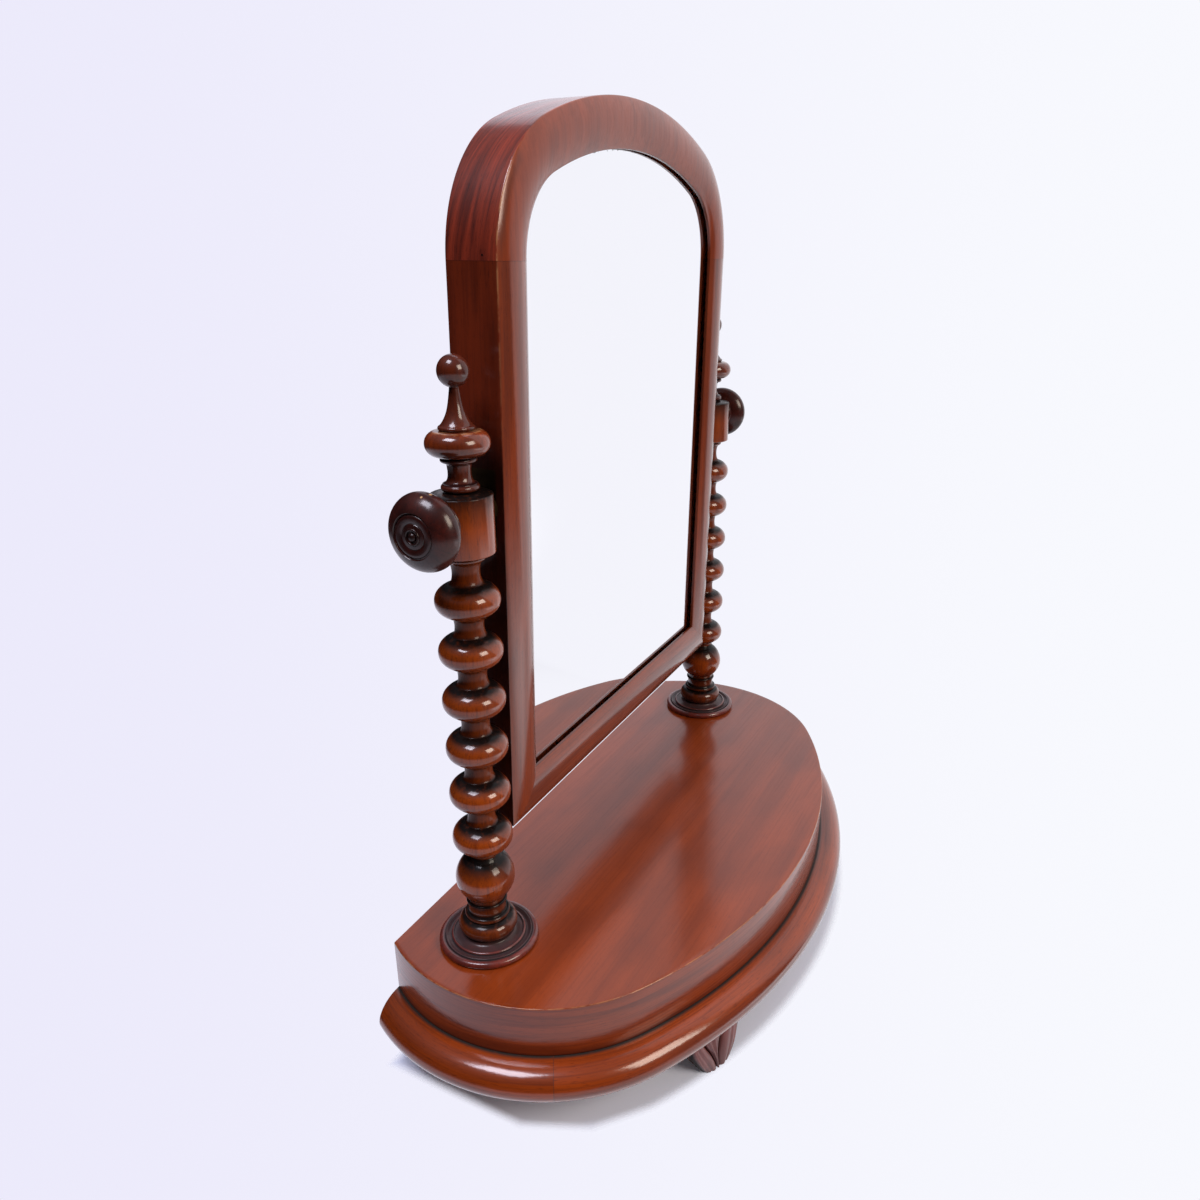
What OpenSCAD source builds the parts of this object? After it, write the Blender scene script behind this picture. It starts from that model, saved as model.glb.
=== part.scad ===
/* [Stand] */
// Gap between the mirror frame's sides and the columns' blocks
block_gap = 3.4; // [2.5:0.1:6]
// Distance from the column axes in each side to the plinth's end
column_in = 50; // [44:1:70]
// Distance from the column axes back to the plinth's straight rear edge
column_to_back = 50; // [36:1:70]
// Height of the feet
foot_h = 27; // [18:1:45]
// Thickness of the moulded base under the plinth
base_h = 24; // [16:1:34]
// Height of the plinth's upper tier
tier_h = 35; // [24:1:60]

/* [Plinth outline] */
// Distance from the widest line to the front of the upper tier
plinth_front = 145; // [130:1:190]
// Distance from the column axes forward to the widest line
widest_line = 10; // [0:1:30]
// Radius of the rounded ends
end_r = 113; // [100:1:125]
// How far the base moulding's nose stands out past the upper tier
nose_out = 18; // [10:1:28]
// Width of the moulded strip round the base
strip_w = 30; // [24:1:45]
// Angle of the side strips' butt joints, measured at the end arc's centre
strip_joint = 30; // [10:1:50]
// Thickness of the veneers on the plinth
veneer_t = 1.2; // [0.6:0.1:2.5]

/* [Feet] */
// Width of a carved front foot at the top
front_foot_w = 46.6; // [36:0.1:60]
// Width of the toe of a carved front foot
front_toe_w = 21; // [10:1:24]
// Thickness of a carved front foot at the top, from front to back
front_foot_t = 22; // [16:1:26]
// How far the toe of a front foot curls forward past its top
front_foot_curl = 4; // [0:0.5:12]
// How far the front feet are set in from the moulding's nose
front_foot_in = 9; // [3:1:12]
// Distance along the front arc from the arc's end to the middle of a front foot
front_foot_corner = 51.6; // [32:0.2:70]
// Width and depth of a plain rear foot
rear_foot_w = 32; // [22:1:44]
// How far the rear feet's centres are set in sideways from the column axes
rear_foot_in = 12; // [4:1:60]
// Distance from the rear feet's centres to the rear edge
rear_foot_back = 26; // [23:1:36]

/* [Columns] */
// Height of the pivot axis above the plinth
pivot_above = 275.2; // [260:0.1:340]
// Radius of the six bobbins
bobbin_r = 18.3; // [14:0.1:19]
// Half height of one bobbin
bobbin_half = 10.9; // [8:0.1:12]
// Height of the lowest bobbin's centre above the plinth
low_bobbin_z = 76.7; // [75.5:0.1:80]
// Distance of the topmost bobbin's centre below the pivot axis
top_bobbin_below = 46.6; // [43:0.1:50]
// Radius of the necks between the bobbins
neck_r = 8.3; // [6:0.1:10]
// Radius of the ball at the foot of the column
ball_r = 18.2; // [14:0.1:20]
// Half height of that ball
ball_half = 17.5; // [14:0.1:17.8]
// Height of the ball's centre above the plinth
ball_z = 47.5; // [47:0.5:49]
// Radius of the round block that carries the pivot
block_r = 17.1; // [15:0.1:18]
// Height of that block
block_h = 32.5; // [28:0.5:34]
// How far the pivot axis lies above the block's middle
pivot_above_middle = 3.4; // [0:0.1:4]
// Rise of the block's slightly domed top
block_dome = 1.5; // [0.5:0.1:3]
// Radius of the tenon that goes into the plinth
tenon_r = 9; // [6:0.5:10]
// Length of that tenon below the plinth's top
tenon_l = 24; // [14:1:28]
// Radius of the dark collar on the plinth
collar_r = 31.2; // [26:0.1:36]
// Height of that collar
collar_h = 7.4; // [6:0.1:9]

/* [Finials] */
// Radius of the finial's ring
ring_r = 17.2; // [13:0.1:20]
// Half height of the finial's ring
ring_half = 7; // [5:0.1:7.5]
// Height of the ring's middle above the block
ring_above = 25.3; // [25:0.1:30]
// Radius of the ball on top
tip_r = 8.4; // [6:0.1:11]
// Height of that ball's centre above the block
tip_above = 61.5; // [58:0.1:80]
// Radius of the dowel that joins the finial to the block
dowel_r = 5; // [3:0.1:6]
// Length of that dowel
dowel_l = 8; // [5:0.5:8.5]

/* [Mirror frame] */
// Width of the frame
frame_w = 319; // [260:1:360]
// Depth of the frame's sides, from the rear face to the front arris
frame_t = 31.3; // [24:0.1:40]
// Distance from the pivot axis forward to the front arris
arris_ahead = 13; // [10:1:15]
// Distance from the pivot axis down to the frame's bottom edge
frame_below = 203.2; // [150:0.1:240]
// Distance from the pivot axis up to the springing of the arch
spring_above = 127.5; // [90:0.5:150]
// Rise of the arch above its springing
arch_rise = 90.5; // [80:0.5:110]
// Radius of the arch's two haunches
haunch_r = 75; // [60:1:78]
// Width of the moulding
mould_w = 28; // [24:0.5:34]
// How far the cushion front swells past its arrises
cushion = 3.6; // [1:0.1:6]
// Width of the rebate that holds the glass
rebate_w = 8; // [5:0.5:12]
// Thickness of the wood in front of the glass at the sight edge
sight_t = 2; // [1.5:0.1:4]
// Forward tilt of the frame as it stands
rest_tilt = 1.2; // [0:0.1:3]
// Thickness of the glass
glass_t = 3; // [2:0.1:5]
// Clearance round the edge of the glass
glass_gap = 0.6; // [0.2:0.1:2]
// Thickness of the backboard
backboard_t = 4.5; // [3:0.1:8]
// How far the backboard's edge lies in from the frame's edge
backboard_in = 10; // [7:0.5:14]

/* [Pivots and knobs] */
// Radius of the clamping screws
screw_r = 3; // [2:0.1:4]
// Radial clearance of the screws in the blocks
bore_gap = 0.1; // [0.05:0.01:0.2]
// Radial clearance of the screws in the threaded plates
thread_gap = 0.05; // [0.02:0.01:0.1]
// How deep the screws reach into the frame
screw_reach = 14; // [8:0.5:17]
// Thickness of the brass plates let into the frame's sides
plate_t = 2; // [1.2:0.1:4]
// Height of those plates
plate_h = 44; // [38:1:60]
// Width of those plates
plate_w = 16; // [12:0.5:20]
// Distance from the pivot axis to each plate screw
plate_screw_z = 15; // [12:0.5:15.5]
// Radius of the washers between the frame and the blocks
washer_r = 9; // [6:0.1:12]
// Play between washer and block
washer_play = 0.3; // [0.2:0.05:0.5]
// Thickness of the washers between the knobs and the blocks
knob_washer_t = 1.2; // [0.8:0.1:2]
// Play between the knobs' washers and the blocks
knob_play = 0.2; // [0.1:0.05:0.5]
// Greatest radius of the knobs
knob_r = 20.9; // [16:0.1:24]
// Distance from the block to the knob's widest circle
knob_wide = 15; // [12:0.1:20]
// Distance from the widest circle to the knob's face
knob_dome = 12.4; // [8:0.1:16]

/* [Screws] */
// Radius of the large wood screws
wood_screw_r = 2.2; // [1.5:0.1:3]
// How far those screws bite into the columns' tenons
tenon_bite = 15; // [8:1:20]
// How far they bite into the base above the feet
foot_bite = 11; // [6:1:14]
// How deep the heads of the feet's screws are sunk
foot_screw_in = 6; // [3:1:10]
// How deep the heads of the columns' screws are sunk into the base
column_screw_in = 5; // [2:1:10]
// Radius of the small brass screws
small_screw_r = 1.2; // [0.8:0.1:1.6]
// Length of the small brass screws
small_screw_l = 13; // [9:0.5:15]

/* [Hidden] */
$fn = 96;

// Heights
base_z = foot_h;
tier_z = base_z + base_h;
top_z = tier_z + tier_h;
pivot_z = top_z + pivot_above;

// Places in plan: the origin lies under the middle of the base
base_depth = column_to_back + widest_line + plinth_front + nose_out;
back_y = base_depth / 2;
frame_half = frame_w / 2;
column_x = frame_half + block_gap + block_r;
column_y = back_y - column_to_back;
widest_y = column_y - widest_line;
plinth_w = 2 * (column_x + column_in);
end_c_x = plinth_w / 2 - end_r;
front_r = (pow(plinth_w / 2, 2) + pow(plinth_front, 2) - plinth_w * end_r)
    / (2 * (plinth_front - end_r));
front_c_y = widest_y - plinth_front + front_r;
front_half_angle = atan2(end_c_x, front_c_y - widest_y);
front_foot_angle = front_half_angle - asin(front_foot_corner / front_r);
rear_foot_x = column_x - rear_foot_in;
far = 4 * plinth_w;

// Frame, in its own upright axes with the pivot axis at the origin
arris_y = -arris_ahead;
rear_y = arris_y + frame_t;
crown_z = spring_above + arch_rise;
crown_r = (pow(frame_half, 2) + pow(arch_rise, 2) - frame_w * haunch_r)
    / (2 * (arch_rise - haunch_r));
haunch_x = frame_half - haunch_r;
crown_c_z = crown_z - crown_r;
haunch_angle = atan2(spring_above - crown_c_z, haunch_x);
glass_y = arris_y + sight_t;
glass_in = mould_w - rebate_w + glass_gap;

// Distance from the block to the knob's back
knob_back = knob_play + knob_washer_t;

// Column, measured from the plinth's top
block_top = pivot_above + block_h / 2 - pivot_above_middle;
block_bottom = block_top - block_h;
finial_z = block_top + block_dome;
block_chamfer = 0.8;
bobbins = 6;
bobbin_pitch = (pivot_above - top_bobbin_below - low_bobbin_z) / (bobbins - 1);

// Radius of the flat on the collar that the column stands on
column_seat_r = 16;

// Points of a turned swelling of half width a and half height b at height z,
// from radius r0 below to radius r1 above
function swell(z, a, b, r0, r1, n = 12) =
    let (low = -acos(r0 / a), high = acos(r1 / a))
    [for (i = [0:n]) let (t = low + (high - low) * i / n) [a * cos(t), z + b * sin(t)]];

// Points of a rounded edge of half height h whose outermost radius r lies at height z,
// from angle a0 to a1 (0 points outward)
function roll(z, r, h, a0, a1, n = 10) =
    [for (i = [0:n]) let (t = a0 + (a1 - a0) * i / n) [r - h + h * cos(t), z + h * sin(t)]];

// Points of a hollow curve that leaves (r0, z0) sideways and reaches (r1, z1) upright
function cove(r0, z0, r1, z1, n = 6) =
    [for (i = [0:n]) let (t = 90 * i / n)
        [r0 + (r1 - r0) * sin(t), z0 + (z1 - z0) * (1 - cos(t))]];

// Half of the plan of a tier: front arc and end arcs, grown by off, cut straight behind
module plan(off) {
    intersection() {
        union() {
            intersection() {
                translate([0, front_c_y]) circle(r = front_r + off);
                polygon([
                    [-end_c_x, widest_y],
                    [-far * sin(front_half_angle), front_c_y - far * cos(front_half_angle)],
                    [far * sin(front_half_angle), front_c_y - far * cos(front_half_angle)],
                    [end_c_x, widest_y]
                ]);
            }
            for (side = [-1, 1]) translate([side * end_c_x, widest_y]) circle(r = end_r + off);
            translate([-end_c_x, widest_y]) square([2 * end_c_x, far]);
        }
        translate([-far, back_y - far]) square([2 * far, far]);
    }
}

// Section of the base moulding: flat strip with a half-round nose, at radius r
module moulding_section(r) {
    nose_r = base_h / 2;
    translate([r - strip_w, 0]) square([strip_w - nose_r, base_h]);
    intersection() {
        translate([r - nose_r, nose_r]) circle(r = nose_r);
        translate([r - nose_r, 0]) square([nose_r, base_h]);
    }
}

// Part of the base moulding round one end, from angle a0 to a1 (0 points sideways,
// 90 points forward)
module end_moulding(side, a0, a1) {
    mirror([side > 0 ? 0 : 1, 0, 0])
        translate([end_c_x, widest_y, base_z])
            rotate([0, 0, -a1])
                rotate_extrude(angle = a1 - a0) moulding_section(end_r + nose_out);
}

module corner_strip(side) {
    end_moulding(side, strip_joint, 90 - front_half_angle);
}

module side_strip(side) {
    intersection() {
        end_moulding(side, -70, strip_joint);
        translate([-far, back_y - far, 0]) cube([2 * far, far, top_z]);
    }
}

// Countersunk wood screw, its head at the origin and its point along +Z
module wood_screw(r, l) {
    head_r = 2 * r;
    cylinder(r1 = head_r, r2 = r, h = head_r - r);
    cylinder(r = r, h = l - 2 * r);
    translate([0, 0, l - 2 * r]) cylinder(r1 = r, r2 = r / 4, h = 2 * r);
}

module foot_screw() {
    wood_screw(wood_screw_r, foot_h - foot_screw_in + foot_bite);
}

module column_screw() {
    wood_screw(wood_screw_r, base_h - column_screw_in + tier_h - tenon_l + tenon_bite);
}

// Hole below a large screw's head, through which it is driven
module counterbore() {
    translate([0, 0, -far]) cylinder(r = 2 * wood_screw_r, h = far);
}

module on_front_foot(side) {
    translate([0, front_c_y, 0])
        rotate([0, 0, side * front_foot_angle])
            translate([0, -(front_r + nose_out - front_foot_in), 0])
                children();
}

module at_foot_screws() {
    for (side = [-1, 1]) {
        on_front_foot(side) translate([0, front_foot_t / 2, foot_screw_in]) children();
        translate([side * rear_foot_x, back_y - rear_foot_back, foot_screw_in]) children();
    }
}

module base_board() {
    color("saddlebrown")
    difference() {
        translate([0, 0, base_z]) linear_extrude(base_h) plan(nose_out - strip_w);
        at_foot_screws() foot_screw();
        at_column_screws() {
            column_screw();
            counterbore();
        }
    }
}

module base_moulding_front() {
    color("sienna")
    difference() {
        translate([0, front_c_y, base_z])
            rotate([0, 0, -90 - front_half_angle])
                rotate_extrude(angle = 2 * front_half_angle)
                    moulding_section(front_r + nose_out);
        at_foot_screws() foot_screw();
    }
}

module base_moulding_corner_left() {
    color("sienna") corner_strip(-1);
}

module base_moulding_corner_right() {
    color("sienna") corner_strip(1);
}

module base_moulding_side_left() {
    color("sienna") side_strip(-1);
}

module base_moulding_side_right() {
    color("sienna") side_strip(1);
}

module at_column_screws() {
    for (side = [-1, 1])
        translate([side * column_x, column_y, base_z + column_screw_in]) children();
}

module plinth_core() {
    color("burlywood")
    difference() {
        translate([0, 0, tier_z]) linear_extrude(tier_h - veneer_t) plan(-veneer_t);
        tenon_holes();
        at_column_screws() column_screw();
    }
}

module tenon_holes() {
    for (side = [-1, 1])
        translate([side * column_x, column_y, top_z - tenon_l]) cylinder(r = tenon_r, h = far);
}

module plinth_edge_veneer() {
    color("sienna")
    translate([0, 0, tier_z]) linear_extrude(tier_h - veneer_t) difference() {
        plan(0);
        plan(-veneer_t);
    }
}

module plinth_top_veneer() {
    color("brown")
    difference() {
        translate([0, 0, top_z - veneer_t]) linear_extrude(veneer_t) plan(0);
        tenon_holes();
    }
}

// Half of a front foot's width and its forward curl, at points from the floor to the top
foot_steps = 12;
function foot_rise(i) = foot_h * i / foot_steps;
function foot_half(i) =
    (front_toe_w + (front_foot_w - front_toe_w) * sin(90 * i / foot_steps)) / 2;
function foot_curl(i) = front_foot_curl * cos(90 * i / foot_steps);

// Front view of a carved foot: a leaf that narrows to its toe
module foot_front_view() {
    polygon(concat(
        [for (i = [0:foot_steps]) [foot_half(i), foot_rise(i)]],
        [for (i = [foot_steps:-1:0]) [-foot_half(i), foot_rise(i)]]
    ));
}

// Side view, its front on the left: the toe curls forward
module foot_side_view() {
    polygon(concat(
        [for (i = [0:foot_steps]) [-foot_curl(i), foot_rise(i)]],
        [[front_foot_t, foot_h], [front_foot_t, 0]]
    ));
}

module front_foot(side) {
    difference() {
        on_front_foot(side) intersection() {
            translate([0, front_foot_t, 0]) rotate([90, 0, 0])
                linear_extrude(front_foot_t + front_foot_curl) foot_front_view();
            translate([-front_foot_w / 2, 0, 0]) rotate([90, 0, 90])
                linear_extrude(front_foot_w) foot_side_view();
        }
        at_foot_screws() {
            foot_screw();
            counterbore();
        }
    }
}

module front_foot_left() {
    color("maroon") front_foot(-1);
}

module front_foot_right() {
    color("maroon") front_foot(1);
}

module rear_foot(side) {
    difference() {
        translate([side * rear_foot_x - rear_foot_w / 2, back_y - rear_foot_back - rear_foot_w / 2, 0])
            cube([rear_foot_w, rear_foot_w, foot_h]);
        at_foot_screws() {
            foot_screw();
            counterbore();
        }
    }
}

module rear_foot_left() {
    color("saddlebrown") rear_foot(-1);
}

module rear_foot_right() {
    color("saddlebrown") rear_foot(1);
}

module foot_screws() {
    color("dimgray") at_foot_screws() foot_screw();
}

module column_screws() {
    color("dimgray") at_column_screws() column_screw();
}

module on_column(side) {
    translate([side * column_x, column_y, top_z]) children();
}

// Stepped disc with a rounded rim, an inner ring and a hollow up to the column's foot
module column_collar(side) {
    rim_h = 4.6;
    step_r = 23.1;
    difference() {
        on_column(side)
            rotate_extrude() polygon(concat(
                [[0, 0]],
                roll(rim_h / 2, collar_r, rim_h / 2, -90, 90),
                [[step_r + 1.2, rim_h - 0.6], [step_r + 0.8, rim_h + 0.6], [step_r, rim_h + 1.1]],
                cove(step_r - 1, rim_h + 1, column_seat_r, collar_h, 5),
                [[0, collar_h]]
            ));
        tenon_holes();
    }
}

module column_collar_left() {
    color("maroon") column_collar(-1);
}

module column_collar_right() {
    color("maroon") column_collar(1);
}

// Turned profile from the tenon up to the block
function column_profile() =
    let (
        torus_r = 18.3,
        torus_half = 5.8,
        bead_r = 14,
        low_neck_r = 11.5,
        seat_r = 9
    )
    concat(
        [[0, -tenon_l], [tenon_r, -tenon_l], [tenon_r, collar_h]],
        roll(collar_h + torus_half, torus_r, torus_half, -90, 72),
        roll(collar_h + 13.5, bead_r, 1.8, -65, 90, 8),
        [[low_neck_r, collar_h + 15.8], [low_neck_r, collar_h + 21.6]],
        roll(collar_h + 23, low_neck_r + 1.2, 1.1, -90, 90, 6),
        swell(ball_z, ball_r, ball_half, low_neck_r + 0.3, neck_r + 0.3, 14),
        [for (i = [0:bobbins - 1])
            each swell(low_bobbin_z + i * bobbin_pitch, bobbin_r, bobbin_half, neck_r, neck_r, 12)],
        [[neck_r - 0.5, block_bottom - 5.2]],
        roll(block_bottom - 2.2, 11.6, 1.7, -90, 60, 6),
        [
            [block_r - block_chamfer, block_bottom], [block_r, block_bottom + block_chamfer],
            [block_r, block_top - block_chamfer], [block_r - block_chamfer, block_top],
            [seat_r, block_top + block_dome], [0, block_top + block_dome]
        ]
    );

module column(side) {
    difference() {
        on_column(side) rotate_extrude() polygon(column_profile());
        on_column(side) translate([0, 0, finial_z - dowel_l]) cylinder(r = dowel_r, h = far);
        translate([side * column_x - far / 2, column_y, pivot_z])
            rotate([0, 90, 0]) cylinder(r = screw_r + bore_gap, h = far);
        at_column_screws() column_screw();
    }
}

module column_left() {
    color("chocolate") column(-1);
}

module column_right() {
    color("chocolate") column(1);
}

// Turned profile of the finial: foot, neck, bead, ring, spire and ball
function finial_profile() =
    let (
        foot_r = 10.3,
        throat_r = 6.2,
        ledge_r = 9.7,
        tip_neck = 2.6,
        spire_r = 8.6,
        bead_z = ring_above - ring_half - 1.6,
        ledge_z = ring_above + ring_half,
        spire_z = ledge_z + 2.2,
        neck_z = tip_above - tip_r * sin(acos(tip_neck / tip_r)) - 0.4
    )
    concat(
        [[0, -dowel_l], [dowel_r, -dowel_l], [dowel_r, 0]],
        roll(2.2, foot_r, 1.8, -90, 60, 8),
        cove(9, 4.4, throat_r, 9),
        [[throat_r + 0.4, bead_z - 2.2], [throat_r + 1.2, bead_z - 1.6]],
        roll(bead_z, ledge_r, 1.5, -90, 90, 8),
        roll(ring_above, ring_r, ring_half, -90, 90, 16),
        roll(ledge_z + 0.8, ledge_r, 1.1, -80, 80, 6),
        [for (i = [0:10]) let (t = 1 - i / 10, spread = spire_r - tip_neck)
            [tip_neck + spread * (0.45 * t + 0.55 * pow(t, 4)),
                spire_z + (neck_z - spire_z) * (1 - t)]],
        [for (i = [0:12]) let (low = -acos(tip_neck / tip_r), t = low + (90 - low) * i / 12)
            [i == 12 ? 0 : tip_r * cos(t), tip_above + tip_r * sin(t)]]
    );

module finial(side) {
    on_column(side) translate([0, 0, finial_z]) rotate_extrude() polygon(finial_profile());
}

module finial_left() {
    color("chocolate") finial(-1);
}

module finial_right() {
    color("chocolate") finial(1);
}

// Moves the frame's own axes to the pivot and tilts them as the frame stands
module tilted() {
    translate([0, column_y, pivot_z]) rotate([rest_tilt, 0, 0]) children();
}

// Section of the frame: x grows inward from the outer edge, y forward from the rear face
module frame_section() {
    cushion_r = (pow(mould_w / 2, 2) + pow(cushion, 2)) / (2 * cushion);
    difference() {
        union() {
            square([mould_w, frame_t]);
            intersection() {
                translate([mould_w / 2, frame_t + cushion - cushion_r]) circle(r = cushion_r);
                translate([0, frame_t - 1]) square([mould_w, cushion + 2]);
            }
        }
        translate([mould_w - rebate_w, -1]) square([rebate_w + 1, frame_t - sight_t + 1]);
    }
}

// Straight run of the frame's section along +Z, its outer edge on the side given
module frame_run(side, l) {
    mirror([side > 0 ? 1 : 0, 0, 0])
        translate([-frame_half, rear_y, 0])
            mirror([0, 1, 0]) linear_extrude(l) frame_section();
}

// Arc of the frame's section, outer radius r, centred at (x, z), from angle a0 to a1
module frame_arc(r, x, z, a0, a1) {
    translate([x, rear_y, z])
        rotate([90, 0, 0])
            rotate([0, 0, a0])
                rotate_extrude(angle = a1 - a0)
                    translate([r, 0]) mirror([1, 0, 0]) frame_section();
}

// Half space on the outer or inner side of the bottom mitres
module mitre_side(side) {
    translate([side * frame_half, 0, -frame_below])
        rotate([0, side * 45, 0])
            translate([-far, -far, 0]) cube([2 * far, 2 * far, 2 * far]);
}

module stile(side) {
    tilted()
    difference() {
        intersection() {
            translate([0, 0, -frame_below]) frame_run(side, frame_below + spring_above);
            mitre_side(side);
        }
        frame_dowel_shapes();
        pivot_plate_shape(side);
        plate_screw_shapes(side);
        screw_way(side);
        backboard_screw_shapes();
    }
}

// Hole in the stile that the end of the clamping screw turns in
module screw_way(side) {
    mirror([side > 0 ? 0 : 1, 0, 0])
        translate([frame_half - screw_reach - 1, 0, 0])
            rotate([0, 90, 0]) cylinder(r = screw_r + 0.5, h = far);
}

module frame_stile_left() {
    color("sienna") stile(-1);
}

module frame_stile_right() {
    color("sienna") stile(1);
}

module frame_bottom_rail() {
    color("sienna")
    tilted()
    difference() {
        translate([-frame_half, rear_y, -frame_below])
            rotate([90, 0, 90])
                linear_extrude(frame_w) rotate(90) frame_section();
        for (side = [-1, 1]) mitre_side(side);
        frame_dowel_shapes();
        backboard_screw_shapes();
    }
}

// Segment of the arch between a stile and the crown
module haunch(side) {
    tilted()
    difference() {
        frame_arc(haunch_r, side * haunch_x, spring_above,
            side > 0 ? 0 : 180 - haunch_angle, side > 0 ? haunch_angle : 180);
        frame_dowel_shapes();
        backboard_screw_shapes();
    }
}

module frame_haunch_left() {
    color("sienna") haunch(-1);
}

module frame_haunch_right() {
    color("sienna") haunch(1);
}

module frame_crown() {
    color("sienna")
    tilted()
    difference() {
        frame_arc(crown_r, 0, crown_c_z, haunch_angle, 180 - haunch_angle);
        frame_dowel_shapes();
        backboard_screw_shapes();
    }
}

// Dowels across the springing joints, the crown's joints and the bottom mitres
module frame_dowel_shapes() {
    peg_r = 3;
    peg_l = 24;
    short_peg_l = 12;
    peg_in = 10;
    for (side = [-1, 1]) {
        translate([side * (frame_half - peg_in), 0, spring_above])
            cylinder(r = peg_r, h = peg_l, center = true);
        translate([side * (crown_r - peg_in) * cos(haunch_angle), 0,
            crown_c_z + (crown_r - peg_in) * sin(haunch_angle)])
            rotate([0, side * (90 - haunch_angle), 0]) rotate([0, 90, 0])
                cylinder(r = peg_r, h = peg_l, center = true);
        translate([side * (frame_half - peg_in), 0, -frame_below + peg_in])
            rotate([0, side * 45, 0])
                cylinder(r = peg_r, h = short_peg_l, center = true);
    }
}

module frame_dowels() {
    color("tan") tilted() frame_dowel_shapes();
}

// Outline of a panel inside the frame, drawn in by the amount given
module panel_outline(in) {
    x = frame_half - in;
    translate([-x, -frame_below + in]) square([2 * x, frame_below + spring_above - in]);
    for (side = [-1, 1]) translate([side * haunch_x, spring_above]) circle(r = haunch_r - in);
    intersection() {
        translate([0, crown_c_z]) circle(r = crown_r - in);
        polygon([
            [haunch_x, spring_above],
            [far * cos(haunch_angle), crown_c_z + far * sin(haunch_angle)],
            [-far * cos(haunch_angle), crown_c_z + far * sin(haunch_angle)],
            [-haunch_x, spring_above]
        ]);
    }
}

module panel(in, front, t) {
    translate([0, front + t, 0]) rotate([90, 0, 0]) linear_extrude(t) panel_outline(in);
}

module mirror_glass() {
    color("lightsteelblue") tilted() panel(glass_in, glass_y, glass_t);
}

// Softwood blocks glued round the rebate behind the glass
module glass_blocks() {
    block_l = 26;
    block_t = 12;
    block_w = rebate_w - 1;
    color("burlywood")
    tilted()
    for (side = [-1, 1]) {
        for (z = [-0.8 * frame_below, -0.35 * frame_below, 0.6 * spring_above])
            translate([
                side > 0 ? frame_half - mould_w + rebate_w - block_w : -frame_half + mould_w - rebate_w,
                glass_y + glass_t, z - block_l / 2
            ])
                cube([block_w, block_t, block_l]);
        translate([
            side * frame_half / 2 - block_l / 2, glass_y + glass_t,
            -frame_below + mould_w - rebate_w
        ])
            cube([block_l, block_t, block_w]);
    }
}

module backboard() {
    color("burlywood")
    tilted()
    difference() {
        panel(backboard_in, rear_y, backboard_t);
        backboard_screw_shapes();
    }
}

// Small screws through the backboard's margin into the back of the frame
module backboard_screw_shapes() {
    inset = (backboard_in + mould_w - rebate_w) / 2;
    spots = concat(
        [for (side = [-1, 1], z = [-0.9 * frame_below, -0.3 * frame_below, 0.75 * spring_above])
            [side * (frame_half - inset), z]],
        [for (side = [-1, 1]) [side * frame_half / 2, -frame_below + inset]],
        [for (t = [-1, 1]) [t * (crown_r - inset) * cos(haunch_angle + 8),
            crown_c_z + (crown_r - inset) * sin(haunch_angle + 8)]]
    );
    for (p = spots)
        translate([p[0], rear_y + backboard_t, p[1]])
            rotate([90, 0, 0]) wood_screw(small_screw_r, small_screw_l);
}

module backboard_screws() {
    color("goldenrod") tilted() backboard_screw_shapes();
}

module pivot_plate_shape(side) {
    translate([side > 0 ? frame_half - plate_t : -frame_half, -plate_w / 2, -plate_h / 2])
        cube([plate_t, plate_w, plate_h]);
}

// Screws at the top and bottom of a plate, heads flush with its face
module plate_screw_shapes(side) {
    for (z = [-1, 1])
        translate([side * frame_half, 0, z * plate_screw_z])
            rotate([0, side * -90, 0]) wood_screw(small_screw_r, small_screw_l);
}

module pivot_plate(side) {
    tilted()
    difference() {
        pivot_plate_shape(side);
        plate_screw_shapes(side);
        translate([side * frame_half - far / 2, 0, 0])
            rotate([0, 90, 0]) cylinder(r = screw_r + thread_gap, h = far);
    }
}

module pivot_plate_left() {
    color("goldenrod") pivot_plate(-1);
}

module pivot_plate_right() {
    color("goldenrod") pivot_plate(1);
}

module pivot_plate_screws() {
    color("goldenrod") tilted() for (side = [-1, 1]) plate_screw_shapes(side);
}

module pivot_washer(side) {
    washer_t = block_gap - washer_play;
    tilted()
    mirror([side > 0 ? 0 : 1, 0, 0])
        translate([frame_half, 0, 0])
            rotate([0, 90, 0])
                difference() {
                    cylinder(r = washer_r, h = washer_t);
                    translate([0, 0, -1]) cylinder(r = screw_r + bore_gap, h = washer_t + 2);
                }
}

module pivot_washer_left() {
    color("goldenrod") pivot_washer(-1);
}

module pivot_washer_right() {
    color("goldenrod") pivot_washer(1);
}

// Turned profile of the knob, from its back at height 0 to its face
function knob_profile() =
    let (collar = 12.6, throat = 11.4, groove_r = 12.2, boss_r = 6, button_r = 3,
        wide = knob_wide - knob_back, face = wide + knob_dome)
    concat(
        [[0, 0], [collar - 0.8, 0], [collar, 0.9], [collar - 0.2, 1.9], [throat, 2.8]],
        swell(wide, knob_r, wide - 3.4, throat + 0.8, knob_r, 10),
        [for (i = [1:8]) let (t = acos(groove_r / knob_r) * i / 8)
            [knob_r * cos(t), wide + knob_dome * sin(t)]],
        [
            [groove_r - 0.5, face - 2.9], [groove_r - 1, face - 2.3],
            [boss_r + 1, face - 1.3], [boss_r, face - 1.7], [boss_r - 0.6, face - 1.1],
            [button_r + 0.5, face - 0.8], [button_r, face - 1.4], [button_r - 0.5, face - 0.4],
            [button_r / 2, face], [0, face]
        ]
    );

// Turns +Z of the children outward along the pivot axis, from the block's outer face
module outward(side) {
    translate([side * (column_x + block_r), column_y, pivot_z])
        rotate([0, side * 90, 0]) children();
}

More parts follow.
